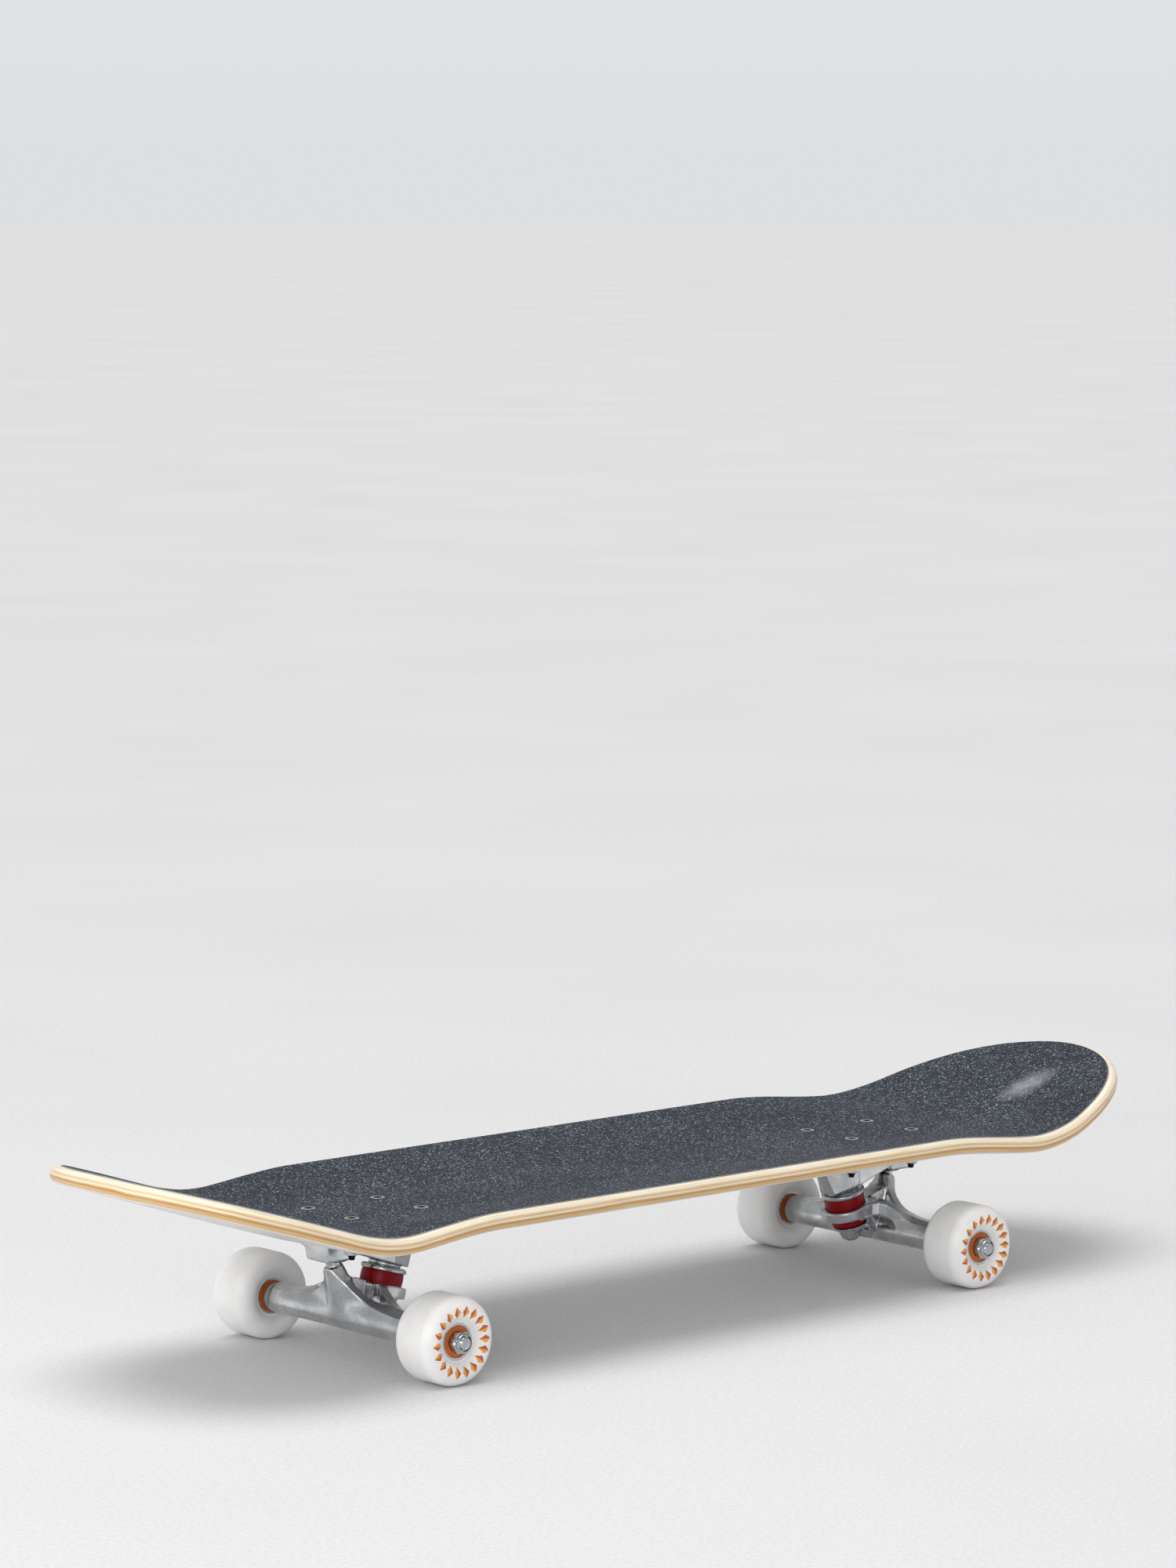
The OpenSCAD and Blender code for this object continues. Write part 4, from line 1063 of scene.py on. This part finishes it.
# Each bushing's outline, and its depths at the washer and at the ring
BUSHINGS = {"top": (barrel(1.62, 12.98, 12.6, 12.6, 0.55), WASHER_T, WEB_TOP),
            "bottom": (barrel(15.52, 24.08, 11.8, 10.9, 0.45), -FLAT_TOP, WEB_BOTTOM)}
for end in ENDS:
    on_pin = TRUCK[end] @ ON_KINGPIN
    for level, (outline, board_at, ring_at) in BUSHINGS.items():
        bushing = solid_item(f"{end}_{level}_bushing_urethane", placed(turned(outline, closed=True), on_pin),
                             RED_URETHANE, crease=50)
        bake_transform(bushing)
        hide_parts(f"{end}_{level}_bushing")
    piece(end + "_top_cup_washer", placed(turned(rounded(CUP_WASHER, 0.5), closed=True), on_pin),
          ZINC, "board", [end + "_top_washer"])
    piece(end + "_bottom_cup_washer", placed(turned(rounded(FLAT_WASHER, 0.4), closed=True), on_pin),
          ZINC, "board", [end + "_bottom_washer"])
print("top bushings blend over", round(WEB_TOP - WASHER_T, 1), "mm")

# %% [markdown]
# ## Nuts, bolts and axles
# A nut is a hexagon whose corners are turned back at each end. The turning function cuts a ring to a
# hexagon, so where a ring's radius is less than the corners, they are rounded off as on a real nut.

# %% Nuts and threads
def nut(flats, height, hole):
    """A lock nut from z = 0 up: a chamfered hexagon and the collar that holds its nylon ring."""
    corner = flats / math.sqrt(3)
    shoulder = height * 0.72
    collar = flats * 0.45
    return turned([(hole + 0.3, 0), (flats / 2 - 0.2, 0, flats), (corner, flats * 0.07, flats),
                   (corner, shoulder - flats * 0.07, flats), (flats / 2 - 0.1, shoulder, flats),
                   (collar, shoulder + 0.1), (collar, height - 0.7), (collar - 0.25, height - 0.25),
                   (collar - 0.8, height), (hole + 0.9, height), (hole + 0.8, height - 1.4),
                   (hole, height - 1.5), (hole, 0.3)], closed=True)


def threads(radius, start, stop, pitch):
    """Rings for a threaded stretch from start to stop."""
    depth = 0.55 * pitch
    count = int(abs(stop - start) / pitch)
    step = math.copysign(pitch, stop - start)
    rings = []
    for k in range(count):
        rings += [(radius, start + k * step), (radius - depth, start + (k + 0.5) * step)]
    return rings


print("25 mm of 1 mm thread has", len(threads(5, 0, 25, 1)) // 2, "turns")

# %% [markdown]
# The bolts' flat heads have a hexagonal socket and sit flush with the grip tape. The axle is threaded
# at both ends, and the kingpin at its foot. Its head is held in the baseplate.

# %% Bolts, axles and kingpins
NUT_Y, NUT_H, NUT_FLATS = 100.5, 6.5, 12.7
MOUNT_NUT_FLATS, MOUNT_NUT_H, BOLT_L, BOLT_THREAD_FROM = 9.5, 5.5, 25.4, 15.5
SOCKET_FLATS, SOCKET_H = 3.2, 1.9
PIN_FLATS, PIN_NUT_H, PIN_FOOT, PIN_THREAD_TOP, PIN_HEAD_TOP, PIN_HEAD_H = 14.3, 8.0, -35.2, -24.0, 25.4, 5.5
FINE_PITCH, BOLT_PITCH = 1.06, 0.79

bolt = turned([(0, -SOCKET_H), (2.0, -SOCKET_H, SOCKET_FLATS), (2.0, -0.15, SOCKET_FLATS), (2.15, 0),
               (HEAD_R - 0.25, 0), (HEAD_R, -0.2), (BOLT_R, -HEAD_H)]
              + threads(BOLT_R, -BOLT_THREAD_FROM, -BOLT_L + 0.6, BOLT_PITCH)
              + [(BOLT_R - 0.6, -BOLT_L), (0, -BOLT_L)], segments=48)
mount_nut = placed(nut(MOUNT_NUT_FLATS, MOUNT_NUT_H, BOLT_R + 0.02), turn("X", 180))
axle_rings = ([(0, -AXLE_END), (AXLE_R - 0.7, -AXLE_END), (AXLE_R - 0.05, -AXLE_END + 0.6)]
              + threads(AXLE_R, -AXLE_END + 0.7, -NUT_Y + 0.5, FINE_PITCH) + [(AXLE_R, -NUT_Y + 1)])
axle = turned(axle_rings + [(r, -z) for r, z in reversed(axle_rings)], segments=64)
kingpin = turned([(0, PIN_FOOT), (PIN_R - 0.8, PIN_FOOT), (PIN_R - 0.05, PIN_FOOT + 0.7)]
                 + threads(PIN_R, PIN_FOOT + 0.8, PIN_THREAD_TOP, FINE_PITCH)
                 + [(PIN_R, PIN_THREAD_TOP + 0.5), (PIN_R, PIN_HEAD_TOP - PIN_HEAD_H),
                    (8.2, PIN_HEAD_TOP - PIN_HEAD_H, PIN_FLATS), (8.2, PIN_HEAD_TOP - 0.8, PIN_FLATS),
                    (7.1, PIN_HEAD_TOP - 0.1, PIN_FLATS), (0, PIN_HEAD_TOP - 0.1)], segments=72)
axle_nut = nut(NUT_FLATS, NUT_H, AXLE_R + 0.02)
pin_nut = placed(nut(PIN_FLATS, PIN_NUT_H, PIN_R + 0.02), move(0, 0, FLAT_FOOT) @ turn("X", 180))
for end in ENDS:
    here, axle_body = TRUCK[end], end + "_axle_assembly"
    heads = [here @ place @ move(0, 0, BOLT_TOP) for place in BOLT_PLACES]
    feet = [here @ place @ move(0, 0, FLANGE_BOTTOM) for place in BOLT_PLACES]
    axle_ends = [here @ turn("X", -90 * side) @ move(0, 0, NUT_Y) for side in SIDES.values()]
    piece(end + "_bolt_set", placed(bolt, *heads), BLACK_OXIDE, "board", [end + "_mounting_bolts"],
          crease=20)
    piece(end + "_bolt_nut_set", placed(mount_nut, *feet), BLACK_OXIDE, "board", [end + "_mounting_nuts"],
          crease=20)
    piece(end + "_kingpin_bolt", placed(kingpin, here @ ON_KINGPIN), ZINC, "board", [end + "_kingpin"])
    piece(end + "_kingpin_lock_nut", placed(pin_nut, here @ ON_KINGPIN), ZINC, "board",
          [end + "_kingpin_nut"], crease=20)
    piece(end + "_axle_rod", placed(axle, here @ turn("X", 90)), ZINC, axle_body, [end + "_axle"])
    piece(end + "_axle_lock_nuts", placed(axle_nut, *axle_ends), ZINC, axle_body, [end + "_axle_nuts"],
          crease=20)
print("axle", round(2 * AXLE_END), "mm over its ends")

# %% [markdown]
# ## Wheels
# A street wheel has a narrow tread, fat rounded shoulders and a dished face round the bearing seat.
# Its section is a few arcs, and the lathe function does the rest. Every bearing has a rubber shield
# on each side, so a wheel carries four.

# %% Wheels
wheel_low, wheel_high = box_mm("front_left_wheel")
WHEEL_R, WHEEL_Y = wheel_high[2] - AXLE_Z, (wheel_low[1] + wheel_high[1]) / 2
TREAD_HALF, FACE, SHOULDER = 9.0, 16.75, 7.75
SEAT_R, SEAT_END, CORE_R, CORE_HALF = 11.02, 12.0, 9.1, 5.0
DISH, HUB = (16.6, FACE), (12.2, 12.6)


def wheel_outline():
    """(radius, distance) from the tread's middle, over the shoulder and dish, into the bearing's seat."""
    arc = [(WHEEL_R - SHOULDER + SHOULDER * math.cos(a), TREAD_HALF + SHOULDER * math.sin(a))
           for a in np.radians(np.linspace(0, 90, 19))]
    start, bend, stop = np.array(arc[-1]), np.array(DISH), np.array(HUB)
    dish = [tuple((1 - t) ** 2 * start + 2 * t * (1 - t) * bend + t ** 2 * stop)
            for t in np.linspace(0, 1, 15)[1:]]
    seat = [(SEAT_R + 0.7, HUB[1]), (SEAT_R + 0.2, SEAT_END + 0.3), (SEAT_R, SEAT_END - 0.2),
            (SEAT_R, CORE_HALF), (CORE_R + 0.2, CORE_HALF), (CORE_R, CORE_HALF - 0.2)]
    half = arc + dish + seat
    return half + [(r, -z) for r, z in reversed(half)]


wheel = turned(wheel_outline(), segments=160, closed=True)
# A rubber shield has a lip at each edge and a shallow groove between them
SEAL = [(6.1, -0.2), (9.85, -0.2), (9.85, 0.2), (9.3, 0.24), (9.1, 0.08), (7.0, 0.08), (6.8, 0.24),
        (6.1, 0.16)]
shield = turned(rounded(SEAL, 0.12, 2), closed=True)
BEARING_W, BEARING_INNER, BEARING_OUTER, SHIELD_DEPTH = 7.0, 75.5, 92.5, 0.5
SHIELD_AT = [y + depth for y in (BEARING_INNER, BEARING_OUTER)
             for depth in (SHIELD_DEPTH, BEARING_W - SHIELD_DEPTH)]
for end in ENDS:
    for side, sign in SIDES.items():
        name = f"{end}_{side}"
        hub = move(ENDS[end] * AXLE_X, 0, AXLE_Z) @ turn("X", -90 * sign)
        piece(name + "_wheel_urethane", placed(wheel, hub @ move(0, 0, WHEEL_Y)), WHITE_URETHANE,
              name + "_wheel_assembly", [name + "_wheel"], crease=30)
        faces = [hub @ move(0, 0, y) @ turn("X", 0 if k % 2 else 180) for k, y in enumerate(SHIELD_AT)]
        piece(name + "_rubber_shields", placed(shield, *faces), ORANGE_RUBBER, name + "_wheel_assembly",
              [name + "_shields"], crease=50)
print("wheel", round(2 * WHEEL_R, 1), "mm, with", len(wheel["points"]), "points")

# %% [markdown]
# ## Parts that keep their CAD shape
# Races, balls, cages, speed washers and pivot cups are exact in the CAD model, so they only need
# their finish. They are told by the end of their names.

# %% Finishes for CAD parts
KEPT = {"races": BEARING_STEEL, "balls": BEARING_STEEL, "cages": NYLON, "speed_washers": ZINC,
        "pivot_cup": BLACK_URETHANE}
for name, node in frame["nodes"].items():
    for ending, material in KEPT.items():
        if name.endswith(ending):
            for slot in node.material_slots:
                slot.material = material
print("kept:", sorted(n for n, o in frame["nodes"].items() if not o.hide_render))
